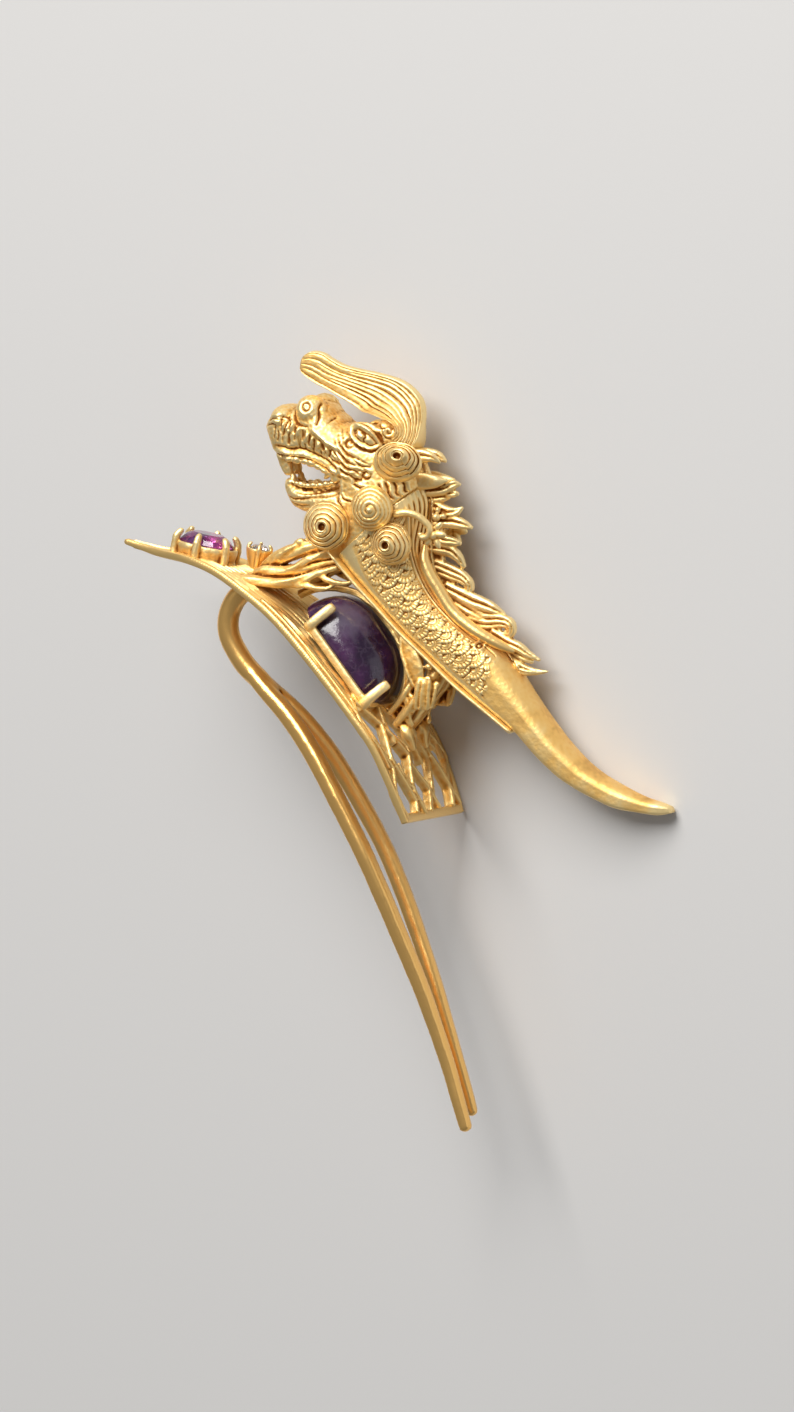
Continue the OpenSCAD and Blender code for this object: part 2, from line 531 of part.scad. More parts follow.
lie_down() mirror([0, 0, 1]) whorl(WHORLS[2]);  // whorl_far_3
lie_down() mirror([0, 0, 1]) whorl(WHORLS[3]);  // whorl_far_4
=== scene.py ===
# %% [markdown]
# # A gilt dragon on a hair fork
# The real object is a cheopji, an ornament worn on the crown of the head. A cast dragon leans over a
# pierced leaf, a big violet stone sits between them, and a two-prong fork slides into the hair.
# Every piece is modelled in one drawing frame, in millimetres: X along the leaf from its tip,
# Y off the leaf, Z across. At the end each piece is laid on its side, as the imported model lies.

import bpy
import bmesh
import math
import numpy as np
from mathutils import Matrix, Vector, noise


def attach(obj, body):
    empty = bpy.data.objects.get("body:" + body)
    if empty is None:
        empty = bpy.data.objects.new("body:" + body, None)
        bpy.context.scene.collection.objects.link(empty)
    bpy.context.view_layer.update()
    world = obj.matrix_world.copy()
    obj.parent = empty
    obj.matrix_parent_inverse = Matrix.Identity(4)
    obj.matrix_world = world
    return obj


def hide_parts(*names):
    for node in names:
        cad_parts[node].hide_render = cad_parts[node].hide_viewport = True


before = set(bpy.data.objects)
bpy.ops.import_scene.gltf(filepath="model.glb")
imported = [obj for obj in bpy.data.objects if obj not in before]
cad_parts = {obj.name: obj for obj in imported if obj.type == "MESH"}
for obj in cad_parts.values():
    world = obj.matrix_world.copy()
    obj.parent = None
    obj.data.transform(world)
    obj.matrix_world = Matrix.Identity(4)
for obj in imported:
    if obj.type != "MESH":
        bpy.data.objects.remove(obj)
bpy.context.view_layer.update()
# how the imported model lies: turned on its side, moved, and brought from millimetres to metres
TURN = Matrix.Rotation(math.radians(5.303), 4, "Y") @ Matrix.Rotation(math.radians(-14.91), 4, "X")
LIE = Matrix.Scale(0.001, 4) @ Matrix.Translation((-11.286, -2.037, 9.96)) @ TURN
print("packed nodes:", len(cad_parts))

# %% [markdown]
# ## Handling pieces
# An operator works on all that is selected, so each step first picks its own object.
# `laid_down` ends every piece: its place goes into the mesh, and it rides on the root body.

# %% Pick, read, write and finish a piece
def pick(*objects):
    if bpy.context.mode != "OBJECT":
        bpy.ops.object.mode_set(mode="OBJECT")
    bpy.ops.object.select_all(action="DESELECT")
    for obj in objects:
        obj.select_set(True)
    if objects:
        bpy.context.view_layer.objects.active = objects[-1]


def places(obj):
    co = np.empty(len(obj.data.vertices) * 3)
    obj.data.vertices.foreach_get("co", co)
    return co.reshape(-1, 3)


def put(obj, co):
    obj.data.vertices.foreach_set("co", np.ascontiguousarray(co, dtype=np.float64).ravel())
    obj.data.update()


def normals(obj):
    n = np.empty(len(obj.data.vertices) * 3)
    obj.data.vertex_normals.foreach_get("vector", n)
    return n.reshape(-1, 3)


def apply(obj, kind, **settings):
    """Add a modifier, set it up and apply it."""
    pick(obj)
    mod = obj.modifiers.new(kind.lower(), kind)
    for key, value in settings.items():
        setattr(mod, key, value)
    bpy.ops.object.modifier_apply(modifier=mod.name)
    return obj


def joined(name, *objects):
    pick(*objects)
    bpy.ops.object.join()
    obj = bpy.context.view_layer.objects.active
    obj.name = name
    return obj


def outward(obj, merge=1e-4):
    """Merge doubled points and turn every face outwards."""
    pick(obj)
    bpy.ops.object.mode_set(mode="EDIT")
    bpy.ops.mesh.select_all(action="SELECT")
    bpy.ops.mesh.remove_doubles(threshold=merge)
    bpy.ops.mesh.normals_make_consistent(inside=False)
    bpy.ops.object.mode_set(mode="OBJECT")
    return obj


def melted(obj, voxel, smooth):
    """Overlapping parts become one cast skin, as solder and polish make them."""
    outward(obj)
    apply(obj, "REMESH", mode="VOXEL", voxel_size=voxel, use_smooth_shade=True)
    return apply(obj, "SMOOTH", factor=0.5, iterations=smooth)

# %% [markdown]
# ## Wrapped skins and tubes
# A cast body is easiest to think of as sections, like the ribs of a boat. A grid primitive is wrapped
# round the sections: one edge of the grid meets the other, and both ends draw in to a point.

# %% Curves through points
def smooth_rows(rows, steps):
    """A smooth curve through rows of numbers, with some steps from one row to the next."""
    rows = np.asarray(rows, float)
    last = len(rows) - 1
    out = []
    for i in range(last):
        a, b, c, d = rows[max(i - 1, 0)], rows[i], rows[i + 1], rows[min(i + 2, last)]
        for j in range(steps):
            t = j / steps
            out.append(0.5 * (2 * b + (c - a) * t + (2 * a - 5 * b + 4 * c - d) * t * t
                              + (3 * b - a - 3 * c + d) * t ** 3))
    out.append(rows[last])
    return np.array(out)


def run_along(line):
    """How far along a line each of its points lies."""
    return np.concatenate([[0], np.cumsum(np.linalg.norm(np.diff(line, axis=0), axis=1))])


def resampled(rows, along, at):
    return np.column_stack([np.interp(at, along, column) for column in rows.T])


def evenly(rows, gap):
    """The same curve, with points an even gap apart along its first three columns."""
    fine = smooth_rows(rows, 12)
    along = run_along(fine[:, :3])
    count = max(int(round(along[-1] / gap)), 2)
    return resampled(fine, along, np.linspace(0, along[-1], count + 1))


def rising(value, start, width):
    """0 up to start, and 1 from a width past it."""
    return np.clip((value - start) / width, 0, 1)


def falling(value, end, width):
    """0 from end on, and 1 up to a width before it."""
    return np.clip((end - value) / width, 0, 1)


def around(sides):
    """Angles evenly round a ring."""
    return np.linspace(0, 2 * math.pi, sides, endpoint=False)


def squared(wave, power):
    """A sine or cosine, made squarer by a power below 1."""
    return np.sign(wave) * np.abs(wave) ** power

# %% Skins and tubes
def wrapped(name, rings, pointed=True):
    """A grid primitive wrapped round rings of shape rows x sides x 3."""
    rings = np.asarray(rings, float)
    if pointed:
        ends = [np.repeat(rings[k].mean(0)[None], rings.shape[1], 0)[None] for k in (0, -1)]
        rings = np.concatenate([ends[0], rings, ends[1]])
    rows, sides = rings.shape[:2]
    pick()
    bpy.ops.mesh.primitive_grid_add(x_subdivisions=sides, y_subdivisions=rows - 1, size=2)
    obj = bpy.context.object
    obj.name = name
    grid = np.concatenate([rings, rings[:, :1]], axis=1)
    put(obj, grid.reshape(-1, 3))
    outward(obj)
    bpy.ops.object.shade_smooth()
    return obj


def frames(path):
    """Sideways (close to Z) and upward unit vectors along a path."""
    ahead = np.gradient(path, axis=0)
    ahead /= np.linalg.norm(ahead, axis=1)[:, None] + 1e-12
    side = np.array([0, 0, 1.0]) - ahead * ahead[:, 2:3]
    weak = np.linalg.norm(side, axis=1) < 0.2
    if weak.any():
        other = np.array([1.0, 0, 0]) - ahead * ahead[:, :1]
        side[weak] = other[weak]
    for k in range(1, len(side)):
        if side[k] @ side[k - 1] < 0:
            side[k] = -side[k]
    side /= np.linalg.norm(side, axis=1)[:, None]
    return side, np.cross(side, ahead)


def tube(name, rows, sides, gap, power=1.0, flat=1.0, groove=None, twist=0.0):
    """A wire through rows of x, y, z, radius. power below 1 squares it, and flat stretches it upwards."""
    line = evenly(rows, gap)
    path, radius = line[:, :3], line[:, 3]
    side, up = frames(path)
    a = around(sides)
    rings = []
    for k in range(len(path)):
        turn = a + twist * k * gap
        r = radius[k] * (1 + (groove(a, k / (len(path) - 1)) if groove else 0))
        sideways = (r * squared(np.cos(turn), power))[:, None] * side[k]
        rings.append(path[k] + sideways + (r * (squared(np.sin(turn), power) * flat))[:, None] * up[k])
    return wrapped(name, rings)


FINE_MERGE = 1e-5


def mirrored(obj):
    """The twin of a piece on the far side."""
    pick(obj)
    bpy.ops.object.duplicate()
    twin = bpy.context.object
    co = places(twin)
    co[:, 2] *= -1
    put(twin, co)
    return outward(twin, FINE_MERGE)

# %% [markdown]
# ## Relief
# Scales, hair and wrinkles are too fine for separate parts. Each is a small rise or fall of the skin,
# so points move along their normals. A second pass measures how hollow each point lies and keeps it as
# an attribute: the hollows get a deep orange painted shade, and the polished ridges stay bright.

# %% Move points along normals, and measure hollows
def carve(obj, rise):
    co, n = places(obj), normals(obj)
    put(obj, co + n * rise(co, n)[:, None])
    return obj


HOLLOW_ROUNDS = (3, 14)


def hollows(obj, gain, deep):
    """Average each point with its neighbours, a few rounds and then more, and keep how far it lies below."""
    mesh = obj.data
    count = len(mesh.vertices)
    ends = np.empty(len(mesh.edges) * 2, dtype=np.int64)
    mesh.edges.foreach_get("vertices", ends)
    a, b = ends.reshape(-1, 2).T
    near = np.bincount(a, minlength=count) + np.bincount(b, minlength=count)
    co, n = places(obj), normals(obj)
    total, now, done = np.zeros(count), co.copy(), 0
    for goal in HOLLOW_ROUNDS:
        for _ in range(goal - done):
            new = np.stack([np.bincount(a, now[b, k], count) + np.bincount(b, now[a, k], count)
                            for k in range(3)], axis=1)
            now = new / np.maximum(near, 1)[:, None]
        done = goal
        total += ((now - co) * n).sum(1) / math.sqrt(goal)
    # a higher value means more painted shade in the gilt's colour; deep adds painted shade of its own
    value = np.clip(0.5 + total * gain + (deep(co) if deep else 0), 0, 1)
    layer = mesh.attributes.new("hollow", "FLOAT", "POINT")
    layer.data.foreach_set("value", value.astype(np.float32))


def grain(co, size, seed=0.0):
    """Smooth noise at points, about -1 to 1."""
    return np.array([noise.noise((p[0] / size + seed, p[1] / size, p[2] / size)) for p in co])


def uneven(obj, *waves):
    """The unevenness of hand work: each wave is a height, a size and, for some, a seed."""
    return carve(obj, lambda co, n: sum(height * grain(co, *place) for height, *place in waves))

# %% [markdown]
# ## Gilt, stone and glassy finishes
# The metal is satin gilt: warm, matte in the hollows and bright on the ridges. Its colour and roughness
# follow the hollow attribute, so the colour darkens the hollows with painted shade, and two bumps give the
# cast skin and the brushing.

# %% A finish and its nodes
class Finish:
    """A material, with short ways to add the nodes that the finishes share."""

    def __init__(self, name):
        self.mat = bpy.data.materials.new(name)
        self.mat.use_nodes = True
        self.shader = self.mat.node_tree.nodes["Principled BSDF"]

    def node(self, kind, **settings):
        made = self.mat.node_tree.nodes.new(kind)
        for key, value in settings.items():
            if key in made.inputs:
                made.inputs[key].default_value = value
            else:
                setattr(made, key, value)
        return made

    def link(self, value, socket):
        self.mat.node_tree.links.new(value, socket)

    def reads(self, value, name):
        """The shader's own socket reads a value that changes over the surface."""
        self.link(value, self.shader.inputs[name])

    def cloud(self, scale, detail):
        coords = self.node("ShaderNodeTexCoord")
        made = self.node("ShaderNodeTexNoise", Scale=scale, Detail=detail)
        self.link(coords.outputs["Object"], made.inputs["Vector"])
        return made.outputs["Fac"]

    def plus(self, base, value, factor):
        made = self.node("ShaderNodeMath", operation="MULTIPLY_ADD")
        made.inputs[1].default_value = factor
        self.link(value, made.inputs[0])
        self.link(base, made.inputs[2])
        return made.outputs[0]

    def ramp(self, value, first, last, *between):
        """Colours by value: each stop is a place and a colour."""
        made = self.node("ShaderNodeValToRGB")
        stops = made.color_ramp.elements
        for stop, (place, colour) in zip(stops, (first, last)):
            stop.position, stop.color = place, (*colour, 1)
        for place, colour in between:
            stops.new(place).color = (*colour, 1)
        self.link(value, made.inputs["Fac"])
        return made.outputs["Color"]

    def graded(self, value, low, high, to_low, to_high):
        span = {"From Min": low, "From Max": high, "To Min": to_low, "To Max": to_high}
        made = self.node("ShaderNodeMapRange", **span)
        self.link(value, made.inputs["Value"])
        return made.outputs["Result"]

    def tinted(self, base, share, colour):
        made = self.node("ShaderNodeMix", data_type="RGBA")
        made.inputs["B"].default_value = (*colour, 1)
        self.link(share, made.inputs["Factor"])
        self.link(base, made.inputs["A"])
        return made.outputs["Result"]

    def bump(self, height, strength, distance, under=None):
        made = self.node("ShaderNodeBump", Strength=strength, Distance=distance)
        self.link(height, made.inputs["Height"])
        if under:
            self.link(under, made.inputs["Normal"])
        return made.outputs["Normal"]

# %% Gilt
def gilt(name, bright, middle, deep, rough, pits=0.3, brushed=0.12):
    """Satin gilt, in three colours from its polished ridges to its hollows, where the deep colour is painted
    shade.
    """
    gold = Finish(name)
    hollow = gold.node("ShaderNodeAttribute", attribute_name="hollow").outputs["Fac"]
    # the hollow value with clouds of stains on it picks the colour: painted shade in the hollows, stains at
    # random
    clouded = gold.plus(hollow, gold.cloud(420.0, 4.0), 0.16)
    shade_and_stains = gold.plus(clouded, gold.cloud(130.0, 2.0), 0.14)
    gold.reads(gold.ramp(shade_and_stains, (0.46, bright), (1.0, deep), (0.68, middle)), "Base Color")
    gold.reads(gold.graded(shade_and_stains, 0.4, 1.05, *rough), "Roughness")
    gold.shader.inputs["Metallic"].default_value = 0.86
    skin = gold.bump(gold.cloud(2600.0, 3.0), pits, 0.00012)
    gold.reads(gold.bump(gold.cloud(9000.0, 2.0), brushed, 0.00004, skin), "Normal")
    return gold.mat


# bright, middle and deep colours: the deep one is the painted shade in the hollows
CAST_GILT = gilt("cast_gilt", (1.0, 0.77, 0.37), (0.90, 0.57, 0.18), (0.24, 0.075, 0.008), (0.42, 0.66))
WIRE_GILT = gilt("wire_gilt", (1.0, 0.68, 0.26), (0.88, 0.50, 0.13), (0.36, 0.13, 0.015), (0.36, 0.55),
                 pits=0.25, brushed=0.15)
FORK_GILT = gilt("fork_gilt", (1.0, 0.60, 0.19), (0.84, 0.42, 0.08), (0.30, 0.10, 0.01), (0.28, 0.44),
                 pits=0.12, brushed=0.1)
DRIFT_GILT = gilt("drift_gilt", (0.99, 0.70, 0.28), (0.84, 0.45, 0.10), (0.16, 0.045, 0.004), (0.42, 0.66),
                  pits=0.4)


# %% [markdown]
# The big stone is nearly opaque, and its colour drifts from violet to almost black, with faint veins and
# one milky patch. The cut stones let light through. All are the same finish with other numbers.

# %% Stone
# the milky patch's middle, in the drawing frame
MILKY = (-2.6, 4.2, 3.2)
BLACK = (0, 0, 0)


def milky_patch(gem):
    """The share of milk in the colour, by the distance from the patch's middle, with a ragged edge."""
    coords = gem.node("ShaderNodeTexCoord")
    away = gem.node("ShaderNodeVectorMath", operation="DISTANCE")
    away.inputs[1].default_value = LIE @ Vector(MILKY)
    gem.link(coords.outputs["Object"], away.inputs[0])
    ragged = gem.plus(away.outputs["Value"], gem.cloud(900.0, 3.0), 0.0035)
    return gem.graded(ragged, 0.0030, 0.0052, 0.42, 0.0)


def stone(name, colour, veil, see_through, rough, scale, veins=0.0):
    """Clouds of two colours, scale sets their size. With veins come thin pale lines and the milky patch."""
    gem = Finish(name)
    paint = gem.ramp(gem.cloud(scale, 5.0), (0.38, colour), (0.68, veil))
    if veins:
        thin_lines = gem.ramp(gem.cloud(430.0, 5.0), (0.475, BLACK), (0.54, BLACK),
                              (0.508, (veins, veins, veins)))
        paint = gem.tinted(paint, thin_lines, (0.42, 0.34, 0.46))
        paint = gem.tinted(paint, milky_patch(gem), (0.19, 0.165, 0.22))
        gem.reads(gem.bump(gem.cloud(1500.0, 4.0), 0.5, 0.00008), "Normal")
    gem.reads(paint, "Base Color")
    coat_rough = 0.12 if veins else 0.02
    for socket, value in (("Transmission Weight", see_through), ("Roughness", rough), ("IOR", 1.55),
                          ("Coat Weight", 0.5), ("Coat Roughness", coat_rough)):
        gem.shader.inputs[socket].default_value = value
    return gem.mat


AMETHYST = stone("amethyst", (0.016, 0.004, 0.022), (0.060, 0.014, 0.070), 0.06, 0.18, 260.0, veins=0.05)
LILAC = stone("lilac_quartz", (0.16, 0.07, 0.24), (0.80, 0.10, 0.50), 0.75, 0.02, 420.0)
CLEAR = stone("clear_quartz", (0.85, 0.87, 0.92), (0.95, 0.95, 0.98), 0.9, 0.01, 300.0)


# %% Lay a piece down and give it its finish
def laid_down(obj, material, *nodes, slot="gold", hollow=True, gain=9.0, deep=None):
    """The last step of every piece. Stones get no painted shade in their hollows."""
    if hollow:
        hollows(obj, gain, deep)
    obj.data.transform(LIE)
    obj.data.materials.clear()
    obj.data.materials.append(material)
    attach(obj, "root")
    if nodes:
        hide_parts(*nodes)
    print(f"{obj.name}: {sum(len(p.vertices) - 2 for p in obj.data.polygons)} triangles")

# %% [markdown]
# ## The fork
# One thick wire leaves the leaf, bends back under it and splits into two tapering prongs. They were
# forged square and then rounded, so each keeps a soft edge along its front. Three wires are made and
# melted into one skin, which gives the crotch its natural web.

# %% The fork
BEND = [(-13.3, -4.2, 0, 1.2), (-13.45, -6.0, 0, 1.22), (-13.1, -7.9, 0, 1.25), (-12.0, -9.6, 0, 1.25),
        (-10.1, -10.75, 0, 1.25), (-6.8, -11.1, 0, 1.25), (-3.9, -10.65, 0, 1.2), (-1.6, -10.3, 0, 1.0)]
# the near prong; the far one is its mirror image, with its own tip
PRONG = [(-6.0, -11.0, 0.2, 0.95), (-2.6, -10.5, 0.75, 1.05), (1.5, -9.8, 1.45, 1.1), (6.5, -9.6, 2.2, 1.1),
         (11.8, -10.05, 2.8, 1.08), (19.2, -11.05, 3.1, 1.05), (25, -12.3, 2.95, 1.03), (30, -13.6, 2.6, 1.0),
         (36.8, -15.5, 1.95, 0.95), (44.7, -18.15, 1.45, 0.84), (49, -19.75, 1.47, 0.8)]
TIP = {"near": (52.0, -20.86, 1.5, 0.74), "far": (50.5, -20.3, 1.47, 0.7)}
# steps past the tip, and the share of its radius there
DOME = ((0.22, 0.97), (0.42, 0.82), (0.58, 0.55), (0.66, 0.2))


def soft_square(a, t):
    """Four soft edges along the wire, which grow stronger past its start."""
    return 0.07 * np.cos(4 * (a - 0.6)) * min(1, 3 * t + 0.3)


def prong(name, end, side):
    """Side is 1 for the near prong and -1 for the far one."""
    ahead = np.subtract(end[:3], PRONG[-1][:3])
    ahead /= np.linalg.norm(ahead)
    dome = [(*(end[:3] + ahead * step), end[3] * share) for step, share in DOME]
    wire = tube(name, PRONG + [end] + dome, sides=28, gap=0.15, groove=soft_square)
    co = places(wire)
    co[:, 2] *= side
    put(wire, co)
    return wire


bend = tube("bend", BEND, sides=28, gap=0.3)
fork = joined("fork_wire", bend, prong("near", TIP["near"], 1), prong("far", TIP["far"], -1))
melted(fork, voxel=0.26, smooth=3)
laid_down(uneven(fork, (0.03, 3.0), (0.008, 0.7, 5.0)), FORK_GILT, "fork")

# %% [markdown]
# ## The leaf
# The leaf is a pierced sheet between two rails. Its front half is a fan of ribs with slits between
# them, and its rear half is a net of thin strips that stand on edge. All of it follows one bent
# profile, so each line is drawn flat, as in a plan, and then put on the leaf.

# %% The leaf's profile and how a flat drawing goes on it
# along the middle, from the tip: x, y and half width
LEAF = np.array([(-27.1, -14.7, 0.35), (-24.8, -12.9, 0.85), (-22.8, -11.2, 1.8), (-19.9, -8.2, 4.0),
                 (-16.4, -5.6, 5.5), (-12, -3.6, 6.7), (-7.3, -2, 7.8), (-2, -1.1, 8.6), (3.3, -0.6, 9.1),
                 (8.2, -0.4, 9.3), (12.2, -0.5, 9.2), (17, -1.6, 8.8), (21.3, -2.9, 8.15)])
leaf_line = smooth_rows(LEAF, 12)


def half_width(x):
    return np.interp(x, leaf_line[:, 0], leaf_line[:, 2])


def on_leaf(x, z, height=0.0):
    """Points at a plan place, a height above the middle of the sheet."""
    x, z, height = np.broadcast_arrays(np.asarray(x, float), z, height)
    slope = np.gradient(leaf_line[:, 1], leaf_line[:, 0])
    y, k = np.interp(x, leaf_line[:, 0], leaf_line[:, 1]), np.interp(x, leaf_line[:, 0], slope)
    length = np.sqrt(1 + k * k)
    return np.stack([x - height * k / length, y + height / length, z], axis=-1)


def strip_on_leaf(name, plan, width, height, lift=0.0, gap=0.25, notch=None, taper=None):
    """A bar along a plan line of x, z, of even section unless a notch or a taper changes it."""
    line = evenly([(x, z, 0) for x, z in plan], gap)
    way = np.gradient(line[:, :2], axis=0)
    way /= np.linalg.norm(way, axis=1)[:, None]
    across = np.stack([-way[:, 1], way[:, 0]], axis=1)
    corners = [(1, -0.7), (1, 0.7), (0.75, 1), (-0.75, 1), (-1, 0.7), (-1, -0.7), (-0.75, -1), (0.75, -1)]
    rings = []
    for k, p in enumerate(line):
        slim = taper(p[0]) if taper else 1
        w = width / 2 * slim * (1 - (notch(k * gap, p) if notch else 0))
        ring = []
        for a, b in corners:
            q = p[:2] + across[k] * a * w
            ring.append(on_leaf(q[0], q[1], lift + b * slim * height / 2))
        rings.append(ring)
    return wrapped(name, rings)

# %% The rails, with fine notches along their outer side
RAIL, NOTCH_DEPTH, NOTCH_GAP = 0.66, 0.11, 0.32


def edge_plan(inset, start, end, side, count=40):
    """A plan line along one edge of the leaf, a little inside it."""
    xs = np.linspace(start, end, count)
    return [(x, side * (half_width(x) - inset)) for x in xs]


def milgrain(along, p):
    """Notches along a rail, which fade out at the tip and towards the net."""
    fade = falling(p[0], 6, 6) * rising(p[0], -21, 3)
    return NOTCH_DEPTH * fade * (math.sin(along * 2 * math.pi / NOTCH_GAP) < -0.2)


def rounded_tip(x):
    """The rails draw in towards the leaf's tip, and their end is round."""
    return (1 - 0.22 * falling(x, -23.5, 3)) * math.sqrt(1 - 0.9 * falling(x, -26.5, 0.4) ** 2)


end_plan = [(20.8, z) for z in np.linspace(-8.1, 8.1, 30)]
rails = []
for side in (1, -1):
    outer = edge_plan(RAIL / 2, -26.9, 21.2, side, 60)
    rails.append(strip_on_leaf("rail", outer, RAIL, 0.85, gap=0.08, notch=milgrain, taper=rounded_tip))
    rails.append(strip_on_leaf("inner wire", edge_plan(1.35, -10, 15, side), 0.34, 0.5, 0.25))
rails.append(strip_on_leaf("end band", end_plan, 1.0, 0.8))
leaf_rail = joined("leaf_rail", *rails)

# %% [markdown]
# The fan is one sheet with waves across it. A grid primitive is bent onto the leaf, the faces over each
# slit are deleted, and Solidify gives the sheet its thickness, which is quicker than one rib at a time.

# %% The fan of ribs, with slits between them
# each slit: its shares of the half width from and to, then x from and to
SLITS = [(0.10, 0.15, -19, 1), (0.27, 0.31, -17, 6), (0.42, 0.48, -17, -6), (0.55, 0.59, -13, 7),
         (0.68, 0.75, -14, 5), (0.86, 0.90, -12, 8)]
FAN_THICK = 0.4


def fan_sheet():
    xs, shares = np.linspace(-25.9, 7.4, 112), np.linspace(-1, 1, 97)
    wide = len(shares) - 1
    pick()
    bpy.ops.mesh.primitive_grid_add(x_subdivisions=wide, y_subdivisions=len(xs) - 1, size=2)
    obj = bpy.context.object
    obj.name = "leaf_fan"
    X, S = np.meshgrid(xs, shares, indexing="ij")
    rib = 0.62 * np.abs(np.cos(S * 19)) ** 0.8 - 0.3 + 0.08 * np.cos(S * 76 + X * 0.5)
    co = on_leaf(X, S * (half_width(X) - RAIL * 0.7), rib - 0.12)
    put(obj, co.reshape(-1, 3))
    pick(obj)
    bpy.ops.object.mode_set(mode="EDIT")
    bm = bmesh.from_edit_mesh(obj.data)
    for face in bm.faces:
        i, j = divmod(face.index, wide)
        x, s = (xs[i] + xs[i + 1]) / 2, abs(shares[j] + shares[j + 1]) / 2
        face.select_set(any(a < s < b and x0 < x < x1 for a, b, x0, x1 in SLITS))
    bmesh.update_edit_mesh(obj.data)
    bpy.ops.mesh.delete(type="FACE")
    bpy.ops.mesh.select_all(action="SELECT")
    bpy.ops.mesh.normals_make_consistent(inside=False)
    bpy.ops.object.mode_set(mode="OBJECT")
    apply(obj, "SOLIDIFY", thickness=FAN_THICK, offset=0.0)
    pick(obj)
    bpy.ops.object.shade_smooth_by_angle(angle=math.radians(50))
    return obj


leaf_fan = fan_sheet()

# %% [markdown]
# The rear net is drawn as rows of long six-sided cells. Each wall is a strip on edge that bows a
# little, and the strips are melted together so that their joints fill as solder fills them.

# %% The net
NET = {"strands": 7, "gap": 2.55, "wave": 8.2, "start": 5.4, "end": 20.7}
# short ties between strands: x, and the place across in strand gaps
TIES = [(7.4, -1.4), (9.6, 1.1), (12.4, -0.4), (14.6, 1.9), (11.0, -2.3)]


def zigzag(x, k):
    """A strand's swing, -1 to 1: a sine made straighter, so that its bends are corners."""
    swing = 2 * math.pi * x / NET["wave"] + math.pi * k
    return math.asin(0.97 * math.sin(swing + 0.5 * math.sin(k * 1.9 + 0.4 * x))) / 1.33


def net_walls():
    walls = []
    for k in range(NET["strands"]):
        middle = (k - (NET["strands"] - 1) / 2) * NET["gap"]
        plan = []
        for x in np.arange(NET["start"] + 0.4 * math.sin(2.2 * k), NET["end"], 0.35):
            z, reach = middle + NET["gap"] * 0.43 * zigzag(x, k), half_width(x) - 0.5
            plan.append((x, max(-reach, min(reach, z))))
        high, lift = 1.25 + 0.15 * math.sin(k * 2), 0.12 * math.sin(k * 1.7)
        walls.append(strip_on_leaf("wall", plan, 0.5, high, lift, 0.22))
    for n, (x, gaps) in enumerate(TIES):
        z = gaps * NET["gap"]
        plan = [(x, z), (x + 1.2, z + 0.5 * math.sin(n * 2)), (x + 2.8, z + 0.9 * math.cos(n))]
        walls.append(strip_on_leaf("tie", plan, 0.42, 1.1, 0.05, 0.22))
    return melted(joined("leaf_net", *walls), voxel=0.155, smooth=2)


laid_down(uneven(net_walls(), (0.05, 0.7)), DRIFT_GILT)
laid_down(leaf_fan, DRIFT_GILT, gain=14.0)
laid_down(leaf_rail, WIRE_GILT, "leaf_base")

# %% [markdown]
# ## The big stone in its claws
# A cushion cabochon is a dome over a soft rectangle. It sits in a frame with a bar along each side,
# and each bar ends in a thick claw bent over the stone's shoulder.

# %% The cushion stone
def soft_oblong(length, width, power, sides):
    a = around(sides)
    return np.stack([length / 2 * squared(np.cos(a), power), width / 2 * squared(np.sin(a), power)], axis=1)


CUSHION = {"length": 14.4, "width": 10.4, "height": 5.1, "levels": 28, "middle": (0.3, 0.5)}


def cushion_stone():
    """Flatter oblongs, one above another, that get smaller and rounder towards the top."""
    rings = []
    for k in range(CUSHION["levels"] + 1):
        share = k / CUSHION["levels"]
        a = math.radians(88.5 * k / CUSHION["levels"])
        length, width = CUSHION["length"] * math.cos(a) ** 0.7, CUSHION["width"] * math.cos(a) ** 0.95
        plan = soft_oblong(length, width, 0.62 + 0.25 * share, 112)
        x0, y0 = CUSHION["middle"]
        rings.append([(x0 + x, y0 + CUSHION["height"] * math.sin(a) ** 1.1, z) for x, z in plan])
    return wrapped("cushion_stone", rings)


laid_down(cushion_stone(), AMETHYST, "cabochon", slot="violet_stone", hollow=False)

# %% Its frame, bars and claws
CLAW_X = (-4.15, 6.9)
# how a claw climbs the stone's side and bends over it: z and y
CLAW_LINE = [(5.45, -0.1), (5.68, 0.3), (5.68, 1.0), (5.5, 1.9), (5.16, 2.8), (4.7, 3.6), (4.5, 3.85)]
CLAW_RADII = (0.34, 0.42, 0.44, 0.44, 0.44, 0.42, 0.34)
# x, y, z, radius
BAR = [(-4.2, 0.42, 5.6, 0.28), (-4.0, 0.46, 5.62, 0.33), (6.8, 0.6, 5.62, 0.33), (7.0, 0.6, 5.6, 0.28)]


def stone_frame():
    parts = []
    seat = [(1.4 + x, 0.26, z) for x, z in soft_oblong(11.6, 10.5, 0.3, 48)]
    parts.append(tube("bearing", [p + (0.36,) for p in seat + seat[:1]], sides=12, gap=0.3))
    bar = tube("bar", BAR, sides=24, gap=0.25, power=0.6, flat=1.5)
    parts += [bar, mirrored(bar)]
    for x in CLAW_X:
        rows = [(x - 0.06 * y, y, z, r) for (z, y), r in zip(CLAW_LINE, CLAW_RADII)]
        claw = tube("claw", rows, sides=28, gap=0.14, power=0.8, flat=1.4)
        parts += [claw, mirrored(claw)]
    return melted(joined("cabochon_frame", *parts), voxel=0.12, smooth=2)


laid_down(uneven(stone_frame(), (0.03, 1.1), (0.012, 0.35, 3.0)), CAST_GILT, "cabochon_setting")

# %% [markdown]
# ## The two small stones
# Cut stones glitter because each facet is flat and its neighbours lean another way. Rings of points are
# turned by half a facet from one level to the next, and the skin is split into triangles and left flat.

# %% Cut stones
def seat_at(x, y, lean):
    return (Matrix.Translation((x, y, 0)) @ Matrix.Rotation(math.radians(lean), 4, "Z")
            @ Matrix.Rotation(math.radians(-90), 4, "X"))


